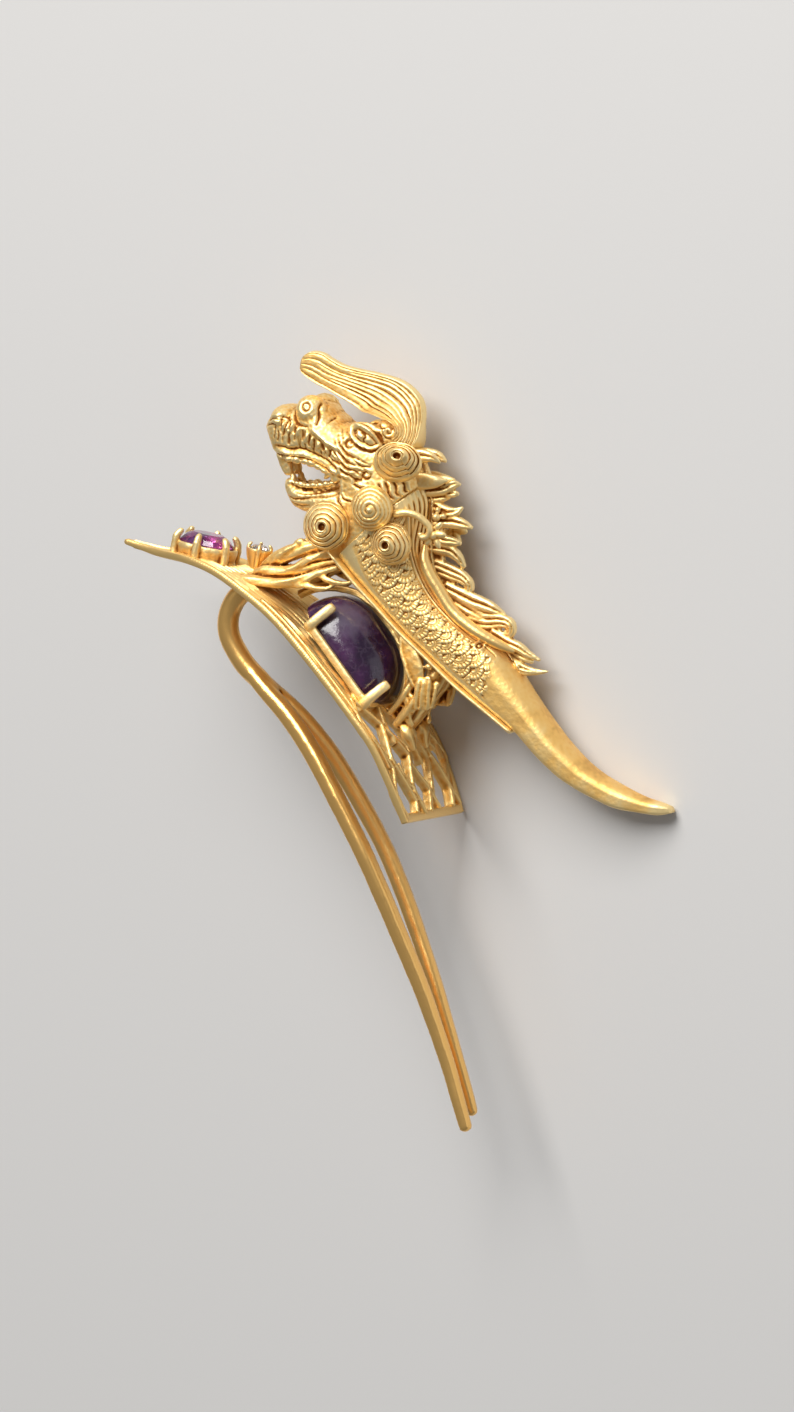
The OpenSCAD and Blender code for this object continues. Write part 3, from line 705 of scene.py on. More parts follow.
def cut_stone(name, length, width, crown, depth, seat, facets=12):
    """Rings of facet corners from the point below, over the girdle, to the table on top."""
    levels = [(0.06, -depth, 0.5), (0.4, -depth * 0.72, 0.5), (0.76, -depth * 0.36, 0.5), (1, -0.12, 0),
              (1, 0.06, 0), (0.86, crown * 0.5, 0), (0.7, crown * 0.82, 0.5), (0.56, crown, 0)]
    rings = []
    for share, up, turn in levels:
        a = 2 * math.pi * (np.arange(facets) + turn) / facets
        x, y = share * length / 2 * np.cos(a), share * width / 2 * np.sin(a)
        rings.append(np.stack([x, y, np.full(facets, up)], axis=1))
    gem = wrapped(name, rings)
    apply(gem, "TRIANGULATE")
    pick(gem)
    bpy.ops.object.shade_flat()
    gem.data.transform(seat)
    return gem


OVAL, OVAL_SEAT = (6.8, 4.8), seat_at(-20.5, -6.4, 41)
SMALL, SMALL_SEAT = (2.2, 2.2), seat_at(-16.05, -1.4, 40)
lilac = cut_stone("oval_lilac", *OVAL, crown=1.2, depth=1.5, seat=OVAL_SEAT)
laid_down(lilac, LILAC, "oval_stone", slot="lilac_stone", hollow=False)
clear = cut_stone("small_clear", *SMALL, crown=0.45, depth=0.9, seat=SMALL_SEAT)
laid_down(clear, CLEAR, "small_stone", slot="clear_stone", hollow=False)

# %% Their settings
# walls as pairs of outward reach and height, claws as shares of their distance out, height and radius
OVAL_WALL = [(-0.25, -2.1), (0.42, -2.1), (0.5, -1.9), (0.3, -1.4), (0.46, -0.5), (0.4, -0.1), (0.2, 0.0),
             (-0.25, -0.35)]
OVAL_CLAW = [(1, -2.25, 0.34), (1, -1.9, 0.46), (1, 0.1, 0.46), (0.97, 0.55, 0.44), (0.88, 1.0, 0.38),
             (0.8, 1.16, 0.24)]
SMALL_WALL = [(-1.0, -2.3), (-0.45, -2.4), (0.05, -1.0), (0.3, -0.1), (0.25, 0.08), (0.07, 0.02),
              (0.05, -0.3), (-0.25, -1.0)]
SMALL_CLAW = [(0.55, -2.2, 0.2), (0.9, -0.8, 0.24), (1, 0.1, 0.24), (0.85, 0.5, 0.2), (0.72, 0.62, 0.1)]


def wall_round(length, width, profile, count):
    """A wall that runs round an oval."""
    rings = []
    for k in range(count + 1):
        a = 2 * math.pi * (k % count) / count
        c, s = math.cos(a), math.sin(a)
        rings.append([((length / 2 + out) * c, (width / 2 + out) * s, up) for out, up in profile])
    return wrapped("wall", rings, pointed=False)


def collet(name, wall, at, reach, line, sides, gap):
    """A wall with claws at some angles, each as far out as reach says, along and across."""
    parts = [wall]
    for degrees in at:
        a = math.radians(degrees)
        x, y = reach[0] * math.cos(a), reach[1] * math.sin(a)
        parts.append(tube("claw", [(x * share, y * share, up, r) for share, up, r in line], sides, gap))
    return joined(name, *parts)


oval_wall = wall_round(*OVAL, OVAL_WALL, 72)
oval = collet("oval_collet", oval_wall, (35, 90, 145, 215, 270, 325), (3.92, 2.92), OVAL_CLAW, 18, 0.15)
melted(oval, voxel=0.11, smooth=2).data.transform(OVAL_SEAT)
laid_down(uneven(oval, (0.05, 0.8), (0.02, 0.3)), CAST_GILT, "oval_setting")
small_wall = wall_round(*SMALL, SMALL_WALL, 40)
small = collet("small_collet", small_wall, (20, 110, 200, 290), (1.32, 1.32), SMALL_CLAW, 12, 0.12)
melted(small, voxel=0.09, smooth=1).data.transform(SMALL_SEAT)
laid_down(small, CAST_GILT, "small_setting")

# %% [markdown]
# ## Driftwood sprigs
# The dragon stands on bundles of knotty strands, grooved along their length like driftwood. Each is a
# tube whose radius swells and whose section has a few lengthwise furrows that turn slowly round it.

# %% Furrowed strands, flames and balls
def furrows(depth, count):
    """Lengthwise furrows round a strand, for tube's groove."""
    def groove(a, t):
        main = np.cos(count * a + 2 * math.sin(5 * t))
        return depth * (main + 0.5 * np.cos(count * 2 * a - 7 * t))
    return groove


def bell(value, middle, wide):
    """A soft bump of height 1."""
    return np.exp(-((value - middle) / wide) ** 2)


# how deep the furrows cut at a place across the blade, -1 to 1, by their number
FLAME_FURROWS = [lambda v: 0 * v, lambda v: 0.45 * bell(v, 0.15, 0.2),
                 lambda v: 0.4 * bell(v, -0.42, 0.13) + 0.45 * bell(v, 0.3, 0.15)]


def flame(points, furrow_count, thick, fuller=1.0):
    """A flat, hollow-faced blade with rolled rims, through points of x, y, z, half width."""
    line = evenly(points, 0.13)
    side, up = frames(line[:, :3])
    v, u = np.cos(around(48)), squared(np.sin(around(48)), 0.45)
    dish = 1 - FLAME_FURROWS[furrow_count](v)
    rings = []
    for k in range(len(line)):
        wide = line[k, 3] * fuller
        t = min(thick, wide * 0.9 + 0.06)
        rings.append(line[k, :3] + side[k] * (t * u * dish)[:, None] + up[k] * (wide * v)[:, None])
    return wrapped("flame", rings)


def bundle(name, strands, extra):
    """Knotty strands and what grows on them, with their twins on the far side."""
    parts = []
    for k, rows in enumerate(strands):
        rows = [(x, y, z, r * (1 + 0.08 * math.sin(2.3 * i + k))) for i, (x, y, z, r) in enumerate(rows)]
        parts.append(tube("strand", rows, sides=36, gap=0.16, power=0.62, flat=0.8,
                          groove=furrows(0.07, 3 + k % 3), twist=0.12))
    parts += extra
    return joined(name, *parts, *[mirrored(p) for p in parts])


def ball(at, radius, stretch=(1, 1, 1), turn=0, segments=28, rings=16):
    """A ball, stretched and then turned."""
    pick()
    bpy.ops.mesh.primitive_uv_sphere_add(segments=segments, ring_count=rings, radius=1)
    obj = bpy.context.object
    obj.data.transform(Matrix.Translation(at) @ Matrix.Rotation(math.radians(turn), 4, "Z")
                       @ Matrix.Diagonal((*[radius * s for s in stretch], 1)))
    return obj


# %% The front and rear sprigs, and the arch over the stone
# each strand: points of x, y, z, radius; each flame: points of x, y, z, half width
FRONT = [[(-14.5, -4.6, 2.1, 0.5), (-13.6, -3.8, 2.3, 0.78), (-12.2, -2.3, 2.5, 0.8),
          (-10.7, -0.5, 2.6, 0.72), (-9.6, 1.6, 2.5, 0.66), (-8.9, 3.9, 2.3, 0.6), (-8.1, 6.0, 1.9, 0.45)],
         [(-13.9, -3.0, 1.2, 0.6), (-13.2, -1.6, 1.5, 0.8), (-11.8, 0.2, 1.7, 0.78),
          (-10.6, 2.8, 1.6, 0.75), (-9.4, 5.0, 1.3, 0.62), (-8.6, 6.6, 1.1, 0.5)],
         [(-13.7, -2.8, 0.4, 0.7), (-13.8, -0.6, 0.7, 0.95), (-13.3, 1.6, 0.8, 1.05),
          (-12.5, 3.6, 0.8, 1.0), (-11.8, 5.2, 0.7, 0.8)],
         [(-11.3, 1.6, 1.9, 0.5), (-11.0, 3.6, 1.9, 0.62), (-10.4, 5.2, 1.5, 0.6), (-9.6, 6.6, 1.1, 0.45)],
         [(-9.7, 0.4, 2.7, 0.36), (-8.6, 1.9, 2.8, 0.44), (-7.5, 2.8, 2.8, 0.4), (-6.9, 3.7, 2.7, 0.32),
          (-6.7, 4.6, 2.6, 0.2)],
         [(-9.3, 3.6, 2.2, 0.42), (-7.7, 4.3, 2.5, 0.42), (-6.3, 5.4, 2.4, 0.36), (-5.7, 6.6, 2.0, 0.3)]]
REAR = [[(11.4, 0.5, 0.5, 0.62), (10.7, 3.2, 0.5, 0.75), (10.1, 6.0, 0.5, 0.7), (9.3, 8.6, 0.4, 0.55)],
        [(10.6, 0.7, 2.2, 0.5), (10.3, 2.8, 2.6, 0.72), (9.9, 5.0, 2.7, 0.82), (9.4, 7.0, 2.4, 0.74),
         (8.6, 8.6, 1.9, 0.45)],
        [(9.6, 0.9, 1.5, 0.5), (9.3, 3.2, 1.7, 0.62), (8.4, 5.4, 1.9, 0.6), (6.4, 7.4, 1.6, 0.5),
         (3.8, 8.1, 1.5, 0.4)],
        [(9.1, 1.1, 2.6, 0.4), (8.9, 2.8, 2.8, 0.5), (8.5, 4.4, 2.9, 0.5), (8.0, 6.0, 2.7, 0.5),
         (7.4, 7.6, 2.2, 0.45)],
        [(9.6, 1.9, 1.9, 0.35), (11.0, 1.75, 2.0, 0.75), (12.2, 1.4, 2.0, 0.92), (13.2, 1.0, 1.9, 0.74),
         (14.1, 0.7, 1.8, 0.25)]]
ARCH = [(-8.9, -0.6), (-8.6, 0.6), (-7.85, 2.2), (-6.6, 3.85), (-4.6, 5.4), (-2.1, 6.2), (0.4, 6.4),
        (2.9, 6.15), (5.3, 5.4), (7, 3.9), (8.1, 2.2), (8.6, 0.9), (8.8, 0.3)]

LEAF_PLATE = [(3.0, 7.9, 2.9, 0.3), (4.4, 7.8, 3.0, 0.85), (6.0, 7.4, 3.1, 1.05), (7.4, 6.9, 3.1, 1.0),
              (8.7, 6.2, 3.0, 0.6)]
RIM = [(3.0, 7.9, 3.1, 0.16), (4.3, 7.0, 3.2, 0.2), (6.0, 6.4, 3.3, 0.22), (7.4, 5.95, 3.3, 0.22),
       (8.7, 5.8, 3.2, 0.18)]
# thin rods at the end of the rear sprig: flames with one furrow, each with its thickness
RODS = [([(8.5, 7.1, 3.1, 0.3), (8.9, 6.6, 3.2, 0.62), (9.8, 5.6, 3.2, 0.62), (10.6, 4.8, 3.1, 0.62),
          (10.9, 4.5, 3.0, 0.35)], 0.42),
        ([(8.7, 7.9, 3.0, 0.3), (9.2, 7.4, 3.1, 0.5), (10.3, 6.3, 3.1, 0.52), (11.2, 5.5, 3.0, 0.5),
          (11.5, 5.2, 2.9, 0.3)], 0.4),
        ([(9.8, 7.9, 2.6, 0.3), (10.2, 7.4, 2.7, 0.45), (11.0, 6.4, 2.7, 0.45), (11.6, 5.7, 2.6, 0.3)],
         0.35),
        ([(8.4, 4.6, 2.9, 0.3), (9.2, 4.3, 3.0, 0.7), (10.2, 4.0, 3.0, 0.6), (10.6, 3.6, 2.9, 0.3)], 0.35),
        ([(9.4, 3.4, 2.6, 0.3), (10.4, 2.9, 2.8, 0.5), (11.3, 2.6, 2.6, 0.4), (11.9, 2.6, 2.4, 0.2)], 0.3)]
# how the sprig's end caps are stretched
CAP = (1.2, 0.9, 0.9)

knot = ball((-13.4, 3.6, 1.3), 0.6, (1.3, 0.8, 0.8), 70)
front_sprig = melted(bundle("front_driftwood", FRONT, [knot]), voxel=0.13, smooth=1)
laid_down(uneven(front_sprig, (0.05, 0.9), (0.015, 0.3, 4.0)), DRIFT_GILT, "front_sprig")
rear_extra = [flame(LEAF_PLATE, 0, thick=0.3), tube("rim", RIM, sides=14, gap=0.12)]
rear_extra += [flame(points, 1, thick) for points, thick in RODS]
rear_extra += [ball((7.8, 8.5, 2.9), 0.4, CAP, 40), ball((9.9, 8.0, 2.5), 0.36, CAP, 40)]
rear_sprig = melted(bundle("rear_driftwood", REAR, rear_extra), voxel=0.135, smooth=1)
laid_down(uneven(rear_sprig, (0.03, 0.6), (0.015, 0.25, 4.0)), DRIFT_GILT, "rear_sprig")
arch = tube("arch_over_stone", [(x, y, 0, 0.42) for x, y in ARCH], sides=28, gap=0.16,
            groove=furrows(0.12, 4), twist=0.2)
laid_down(uneven(arch, (0.04, 0.6)), DRIFT_GILT, "arch_wire")

# %% [markdown]
# ## The dragon's trunk and tail
# The trunk is a loft like a boat's hull. Its scales are fans: each has a rounded edge towards the tail
# and fine lines that spread from its root. They end in front of the tail, which is smooth and matte.

# %% Relief on a loft, before it is wrapped
def raised(rings, rise):
    """Rings with each point moved along its normal."""
    along = np.gradient(rings, axis=0)
    across = np.roll(rings, -1, axis=1) - np.roll(rings, 1, axis=1)
    n = np.cross(along, across)
    n /= np.linalg.norm(n, axis=2)[:, :, None] + 1e-9
    out = ((rings - rings.mean(axis=1, keepdims=True)) * n).sum()
    return rings + n * math.copysign(1, out) * rise[:, :, None]


def sections(rows, a, low_power, top_power=1.0):
    """Rings at the angles a, through rows of top x, top y, low x, low y, half width."""
    power = np.where(np.cos(a) < 0, low_power, top_power)
    u, v = squared(np.cos(a), power), squared(np.sin(a), power)
    rings = []
    for tx, ty, lx, ly, wide in rows:
        mid, half = np.array([(tx + lx) / 2, (ty + ly) / 2]), np.array([(tx - lx) / 2, (ty - ly) / 2])
        xy = mid + half * u[:, None]
        rings.append(np.column_stack([xy, wide * v]))
    return np.array(rings)

# %% The trunk
# top x, top y, low x, low y, half width
TRUNK = [(-9.4, 20.2, -8.8, 7.3, 4.3), (-7.2, 19.1, -8.1, 7.3, 4.2), (-3.6, 15.8, -5.2, 7.5, 4),
         (-0.1, 14.3, -1.7, 7.9, 3.8), (3.4, 14.1, 2.6, 8.4, 3.6), (7.5, 15, 6.9, 9.2, 3.4),
         (11.2, 16.3, 11.3, 10, 3.2), (15.3, 16.3, 15.9, 11.2, 3), (18.8, 16.1, 19.7, 12.2, 2.8),
         (21.9, 16.1, 23.4, 12.6, 2.7), (24.6, 16.3, 26.4, 13.1, 2.5), (27.4, 16.7, 28.8, 13.9, 2.3),
         (29.7, 17.4, 31.2, 15, 2.1), (32.3, 18.6, 33.8, 16.5, 1.9), (35, 20.1, 35.9, 18.4, 1.5),
         (36.6, 21.3, 37.7, 20.3, 1.1), (37.7, 22, 38.4, 21.7, 0.6)]
# rows of points are close together up to this x
FINE_END = 19.0
# how far one scale reaches, and the steps from row to row and from scale to scale
FAN, ROW_GAP, FAN_GAP = 1.32, 1.12, 2.1

# %% Scales
def scatter(i, j, k):
    """A steady odd number from -1 to 1 for each scale."""
    v = np.sin(i * 12.9898 + j * 78.233 + k * 37.719) * 43758.5453
    return 2 * (v - np.floor(v)) - 1


def scale_relief(s, g):
    """Fans that overlap towards the tail, at a length s along the body and a girth g round it."""
    total = np.full(s.shape, -0.04)
    for back in (0, 1, 2):
        row = np.floor(s / ROW_GAP) - back
        shift = 0.5 * (row % 2)
        place = np.round(g / FAN_GAP - shift)
        c = (place + shift) * FAN_GAP + 0.15 * scatter(row, place, 1)
        ds = s - row * ROW_GAP - 0.13 * scatter(row, place, 2)
        dg = g - c
        size = FAN * (1 + 0.12 * scatter(row, place, 3))
        d = np.hypot(ds, dg) / size
        angle = np.arctan2(dg, ds + 0.1)
        ticks = np.cos(angle * 17 + 2 * scatter(row, place, 4))
        rim = rising(d, 0.52, 0.08)
        height = 0.01 + 0.09 * d + 0.026 * rim * ticks - 0.06 * bell(d, 0.55, 0.06)
        height += (1 - rim) * 0.03 * np.cos(d * 24 + 1.5 * scatter(row, place, 5))
        fan = -0.06 + (height + 0.06) * falling(d, 1, 0.07)
        total = np.where(d < 1, fan, total)
    return total


# %% The trunk's skin
def trunk_grid():
    """Rings, the length along the trunk, the girth from the back, and its share of half a turn."""
    rows = smooth_rows(TRUNK, 60)
    middle = (rows[:, :2] + rows[:, 2:4]) / 2
    s = run_along(middle)
    fine_end = np.interp(FINE_END, middle[:, 0], s)
    at = np.concatenate([np.arange(0, fine_end, 0.12), np.linspace(fine_end, s[-1], 60)])
    # most points go where the scales are: from a fifth to two thirds of the half turn
    shares = [np.linspace(0, 0.19, 25)[:-1], np.linspace(0.19, 0.67, 74)[:-1], np.linspace(0.67, 1, 15)]
    shares = np.concatenate(shares)
    rings, girths, halves = [], [], []
    for row in resampled(rows, s, at):
        fine = sections([row], np.linspace(0, math.pi, 900), 0.28)[0]
        run = run_along(fine)
        side = resampled(fine, run, shares * run[-1])
        rings.append(np.concatenate([side, (side * (1, 1, -1))[-2:0:-1]]))
        girths.append(np.concatenate([shares, shares[-2:0:-1]]) * run[-1])
        halves.append([run[-1]])
    return np.array(rings), at[:, None], np.array(girths), np.array(girths) / np.array(halves)


def trunk():
    rings, at, girth, share = trunk_grid()
    x, y = rings[:, :, 0], rings[:, :, 1]
    border = 12.2 + 0.35 * np.sin(y * 5) + 0.9 * np.clip(15 - y, -2, 4)
    before_tail = falling(x, border, 0.25)
    fade = before_tail * rising(share, 0.235, 0.02) * falling(share, 0.655, 0.03)
    rise = scale_relief(np.broadcast_to(at, x.shape), girth) * fade
    ridge = bell(share, 0.218, 0.009) * falling(x, 6.5, 2) - 0.6 * bell(share, 0.2, 0.012)
    hair = falling(share, 0.185, 0.02) * falling(x, -1.5, 2)
    rise = rise - 0.16 * hair * np.abs(np.cos(girth * 4.1 + 0.9 * np.sin(at * 0.9))) ** 3
    rise = rise + 0.13 * ridge * before_tail
    # a small ring with a dimple in it, near the end of the scales
    for r, height in ((0.5, 0.12), (0.24, -0.14)):
        rise = rise + height * bell(np.hypot(x - 9.5, y - 14.9), r, 0.12)
    return wrapped("trunk_and_tail", raised(rings, rise))


laid_down(uneven(trunk(), (0.035, 2.2), (0.012, 0.5, 2.0)), CAST_GILT, "dragon_body")

# %% [markdown]
# A thin strip closes the trunk below and shows as a lip along the flank. It follows the trunk's lower
# edge, so its line is taken from the trunk's own rows, and it is a loft of flat oblong sections.

# %% The strip under the belly
def belly():
    rows = evenly([(-10.6, 6.75, 3.9)] + [(r[2], r[3] - 0.2, r[4] + 0.22) for r in TRUNK if r[2] < 20], 0.3)
    u, v = squared(np.cos(around(32)), 0.25), squared(np.sin(around(32)), 0.6)
    rings = [np.column_stack([np.full(32, x), y + 0.28 * v, wide * u]) for x, y, wide in rows]
    return wrapped("belly_lip", rings)


laid_down(uneven(belly(), (0.03, 0.9)), CAST_GILT, "belly_strip")

# %% [markdown]
# ## The head
# The head starts as two lofts, the skull and the jaw, with balls for the nose, brow and cheek, melted
# into one skin. Then its features are drawn as strokes on the side: each stroke cuts or lifts the
# skin near a line. The far side gets the same strokes, mirrored.

# %% The head's rough shape
# skull and jaw: top x, top y, low x, low y, half width
SKULL = [(-26.7, 8.4, -25.2, 8, 1.2), (-27.1, 9.9, -23.4, 7.8, 2.6), (-26.4, 11.5, -21.5, 8.5, 3.4),
         (-25.6, 13.7, -19.9, 10.1, 3.7), (-24.6, 15.8, -18.4, 11.5, 3.9), (-22.4, 16.4, -16.3, 12.1, 4),
         (-20.7, 16.9, -14.5, 11.9, 4.2), (-18.7, 19, -12.7, 10.3, 4.4), (-15.1, 21, -11.1, 8.4, 4.4),
         (-11.5, 21.1, -9.7, 7.5, 4.4), (-9.5, 20.2, -8.9, 7.3, 4.3)]
JAW = [(-20.4, 6.7, -18.9, 5.7, 1.4), (-19, 7.6, -17.1, 5.6, 2.4), (-17.8, 8.5, -15.6, 6.5, 2.9),
       (-16.7, 9.9, -14.3, 7.6, 3.3), (-15.8, 11.5, -12.6, 8.4, 3.6), (-14.3, 12.8, -11.1, 9, 3.8)]
# small bumps on the near side: x, y, z, radius
JAW_TEETH = [(-19.45, 7.15, 1.5, 0.4), (-18.75, 7.65, 1.9, 0.34), (-18.1, 8.2, 2.2, 0.42),
             (-17.45, 8.9, 2.4, 0.36), (-16.95, 9.6, 2.6, 0.42), (-16.5, 10.3, 2.7, 0.36),
             (-16.1, 11.0, 2.8, 0.4), (-15.8, 11.7, 2.9, 0.36)]
LIP_BUMPS = [(-21.3, 9.25, 3.1, 0.34), (-20.6, 9.85, 3.2, 0.4), (-19.9, 10.6, 3.3, 0.34),
             (-19.2, 11.15, 3.4, 0.42), (-18.4, 11.65, 3.4, 0.36), (-17.6, 12.1, 3.5, 0.4)]


# balls: middle, radius, stretch and turn
HUMPS = {"snout tip": ((-25.7, 10.9, 0.6), 1.0, (1.75, 1.7, 2.9), 60),
         "nose": ((-24.15, 14.35, 1.9), 1.95, (1.05, 1, 1), 0),
         "nose point": ((-22.6, 14.2, 2.6), 1.0, (1.4, 1, 1), 10),
         "brow hump": ((-23.2, 15.2, 0), 1.0, (1.7, 1.35, 2.7), 30),
         "brow end": ((-21.7, 15.7, 0), 1.0, (1.7, 1.1, 2.6), 15),
         "eye": ((-17.6, 18.6, 2.9), 1.0, (2.5, 1.6, 1.35), 32),
         "ear": ((-16.3, 20.9, 2.4), 1.0, (1.9, 1.6, 1.5), 20),
         "cheek": ((-16.2, 14.3, 3.3), 1.0, (2.2, 1.8, 1.1), 60)}
# the lip bumps and small teeth, and how finely all balls of the head are divided
BUMP = {"stretch": (1.35, 0.85, 0.8), "turn": 50}
FINE_BALL = {"segments": 40, "rings": 24}
# teeth: name, points of x, y, z, radius, then sides and how square the section is
TEETH = [("fang",
          [(-23.85, 9.2, 0.95, 0.9), (-22.85, 8.4, 1.1, 0.88), (-21.65, 7.85, 1.15, 0.76),
           (-20.65, 7.5, 1.15, 0.58), (-20.3, 7.35, 1.15, 0.3)], 20, 0.75),
         ("tooth", [(-18.4, 6.5, 0.9, 0.8), (-19.4, 7.2, 1.05, 0.58), (-20.2, 7.85, 1.15, 0.2)], 18, 0.8),
         ("back_fang", [(-17.6, 12.6, 2.6, 0.5), (-17.2, 11.7, 2.5, 0.38), (-17.1, 11.0, 2.4, 0.1)], 14,
          0.9)]


def rough_head():
    parts = [wrapped("skull", sections(smooth_rows(SKULL, 8), around(96), 0.7, 0.75)),
             wrapped("jaw", sections(smooth_rows(JAW, 8), around(72), 0.8, 0.8))]
    near = [ball(*hump, **FINE_BALL) for hump in HUMPS.values()]
    near += [tube(name, points, sides, 0.1, power) for name, points, sides, power in TEETH]
    near += [ball((x, y, z), r, **BUMP, **FINE_BALL) for x, y, z, r in JAW_TEETH + LIP_BUMPS]
    for piece in near:
        parts += [piece, mirrored(piece)]
    return melted(joined("head", *parts), voxel=0.114, smooth=5)


head = rough_head()

# %% Strokes that cut or lift the skin
def line_distance(points, line):
    """The distance from each point to a line, and the share of the line where it is nearest."""
    best, share, last = np.full(len(points), 1e9), np.zeros(len(points)), len(line) - 1
    for k, (a, b) in enumerate(zip(line[:-1], line[1:])):
        t = np.clip(((points - a) @ (b - a)) / max((b - a) @ (b - a), 1e-9), 0, 1)
        d = np.linalg.norm(points - a - t[:, None] * (b - a), axis=1)
        share = np.where(d < best, (k + t) / last, share)
        best = np.minimum(best, d)
    return best, share


# strokes are a little wider in the metal than on paper, and fade out towards the middle of the head
SPREAD, FLANK_START, FLANK_SOFT = 1.28, 1.3, 0.8


def drawn(strokes):
    """The rise at each point for strokes of height, half width and a line drawn on the side."""
    def rise(co, n):
        total = np.zeros(len(co))
        facing = rising(np.abs(co[:, 2]), FLANK_START, FLANK_SOFT) * np.clip(np.abs(n[:, 2]) * 2.4, 0, 1)
        for height, wide, line in strokes:
            wide, fine = wide * SPREAD, smooth_rows(line, 4)
            reach = 3 * wide
            box = np.all((co[:, :2] > fine.min(0) - reach) & (co[:, :2] < fine.max(0) + reach), axis=1)
            d, share = line_distance(co[box, :2], fine)
            closed = np.linalg.norm(fine[0] - fine[-1]) < 0.4
            taper = 1.0 if closed else 0.3 + 0.7 * np.sin(math.pi * np.clip(share, 0.02, 0.98)) ** 0.5
            total[box] += height * taper * np.exp(-(d / (wide * (0.6 + 0.4 * taper))) ** 2)
        return total * facing
    return rise


def ring(x, y, r, start, end, count, open_out=0.0):
    """An arc of a circle, or of a spiral that opens out."""
    line = []
    for k, degrees in enumerate(np.linspace(start, end, count)):
        a, reach = math.radians(degrees), r + open_out * k
        line.append((x + reach * math.cos(a), y + reach * math.sin(a)))
    return line


def at_share(line, share):
    """A point at a share of a line's length."""
    line = smooth_rows(line, 8)
    along = run_along(line)
    return resampled(line, along, share * along[-1])[0]


def moved(line, dx, dy):
    return [(x + dx, y + dy) for x, y in line]


# %% Strokes for the lips, the eye and the nose
LIP_TOP = [(-23.9, 7.9), (-23.2, 8.3), (-22.5, 9.0), (-21.7, 9.6), (-20.8, 10.9), (-19.4, 11.8),
           (-17.7, 12.8), (-16.3, 13.4)]
LIP_LOW = [(-22.9, 7.6), (-22.3, 8.1), (-21.4, 9.2), (-20.5, 10.5), (-19.1, 11.5), (-17.8, 12.1),
           (-16.4, 12.6)]
LIP_GAP = [((a[0] + b[0]) / 2, (a[1] + b[1]) / 2) for a, b in zip(LIP_TOP, LIP_LOW)]
strokes = [(0.3, 0.24, LIP_TOP), (0.26, 0.2, LIP_LOW), (-0.28, 0.13, LIP_GAP),
           (-0.3, 0.2, moved(LIP_TOP[1:], -0.45, 0.4))]
EYE_TOP = [(-19.6, 17.9), (-19.4, 18.6), (-18.3, 19.4), (-16.9, 19.8), (-15.7, 19.6)]
EYE_LOW = [(-19.6, 17.9), (-19.1, 17.6), (-18.0, 17.5), (-16.9, 17.85), (-16.0, 18.6), (-15.7, 19.6)]
# both lids, the folds round them, the eye's own line, its pupil and the brow
strokes += [(0.28, 0.13, EYE_TOP), (0.28, 0.13, EYE_LOW), (-0.3, 0.12, moved(EYE_TOP, -0.15, 0.38)),
            (0.2, 0.12, [(-19.9, 18.2), (-19.5, 19.2), (-18.3, 20.0), (-16.7, 20.3), (-15.6, 20.0)]),
            (-0.25, 0.1, moved(EYE_LOW, 0.25, -0.3)),
            (-0.2, 0.1, [(-19.1, 18.05), (-18.9, 18.5), (-18.0, 19.05), (-16.9, 19.4), (-16.1, 19.35)]),
            (-0.2, 0.1,
             [(-19.1, 18.05), (-18.8, 17.85), (-17.8, 17.9), (-16.8, 18.25), (-16.2, 18.8),
              (-16.1, 19.35)]),
            (-0.36, 0.11,
             [(-18.2, 18.75), (-17.8, 18.9), (-17.45, 18.8), (-17.4, 18.4), (-17.0, 18.3), (-16.7, 18.5)]),
            (-0.3, 0.09, ring(-18.75, 18.1, 0.16, 0, 360, 9)),
            (-0.4, 0.14, [(-20.0, 19.2), (-19.3, 20.0), (-18.4, 20.5), (-17.5, 20.7), (-17.0, 21.3)])]
# the ear's hollow and curl
strokes += [(-0.5, 0.75, ring(-16.4, 21.3, 0.6, 0, 360, 14)),
            (0.42, 0.2, ring(-16.4, 21.35, 0.3, 60, 420, 14, 0.03)),
            (0.3, 0.16, [(-17.3, 20.7), (-16.9, 21.0), (-16.6, 20.7)])]
# wrinkles on the snout, the nose's edge and eye, and creases behind it
strokes += [(-0.2, 0.13, [(-26.2, 10.6), (-25.7, 11.6), (-25.0, 12.0), (-24.3, 11.9)]),
            (-0.16, 0.1, [(-25.8, 10.8), (-25.4, 11.4), (-24.8, 11.6)]),
            (-0.2, 0.1, [(-26.5, 9.6), (-26.3, 10.4), (-25.7, 11.0)]),
            (-0.18, 0.1, [(-26.3, 8.9), (-26.0, 9.7), (-25.4, 10.3)]),
            (-0.34, 0.16, ring(-24.4, 14.4, 1.75, 200, 330, 12)),
            (-0.24, 0.1, ring(-24.8, 14.75, 0.5, 0, 360, 16)),
            (-0.2, 0.09, ring(-24.75, 14.75, 0.12, 0, 300, 10, 0.02)),
            (-0.4, 0.13, [(-24.3, 16.4), (-23.7, 15.9), (-22.9, 15.3), (-22.3, 14.6)]),
            (-0.16, 0.1, [(-22.3, 16.9), (-21.9, 16.4), (-21.7, 15.8)])]
# the cheek's bone, and small curls on the cheek and behind the jaw
strokes += [(0.3, 0.28, [(-22.0, 13.9), (-20.8, 14.3), (-19.6, 14.6), (-18.6, 15.2)]),
            (-0.3, 0.16, ring(-18.2, 16.7, 0.2, 0, 400, 14, 0.03)),
            (-0.32, 0.13, ring(-14.0, 16.3, 0.16, 40, 420, 14, 0.035)),
            (-0.3, 0.12, [(-14.3, 15.9), (-13.9, 15.4), (-14.3, 14.9), (-13.9, 14.5)])]

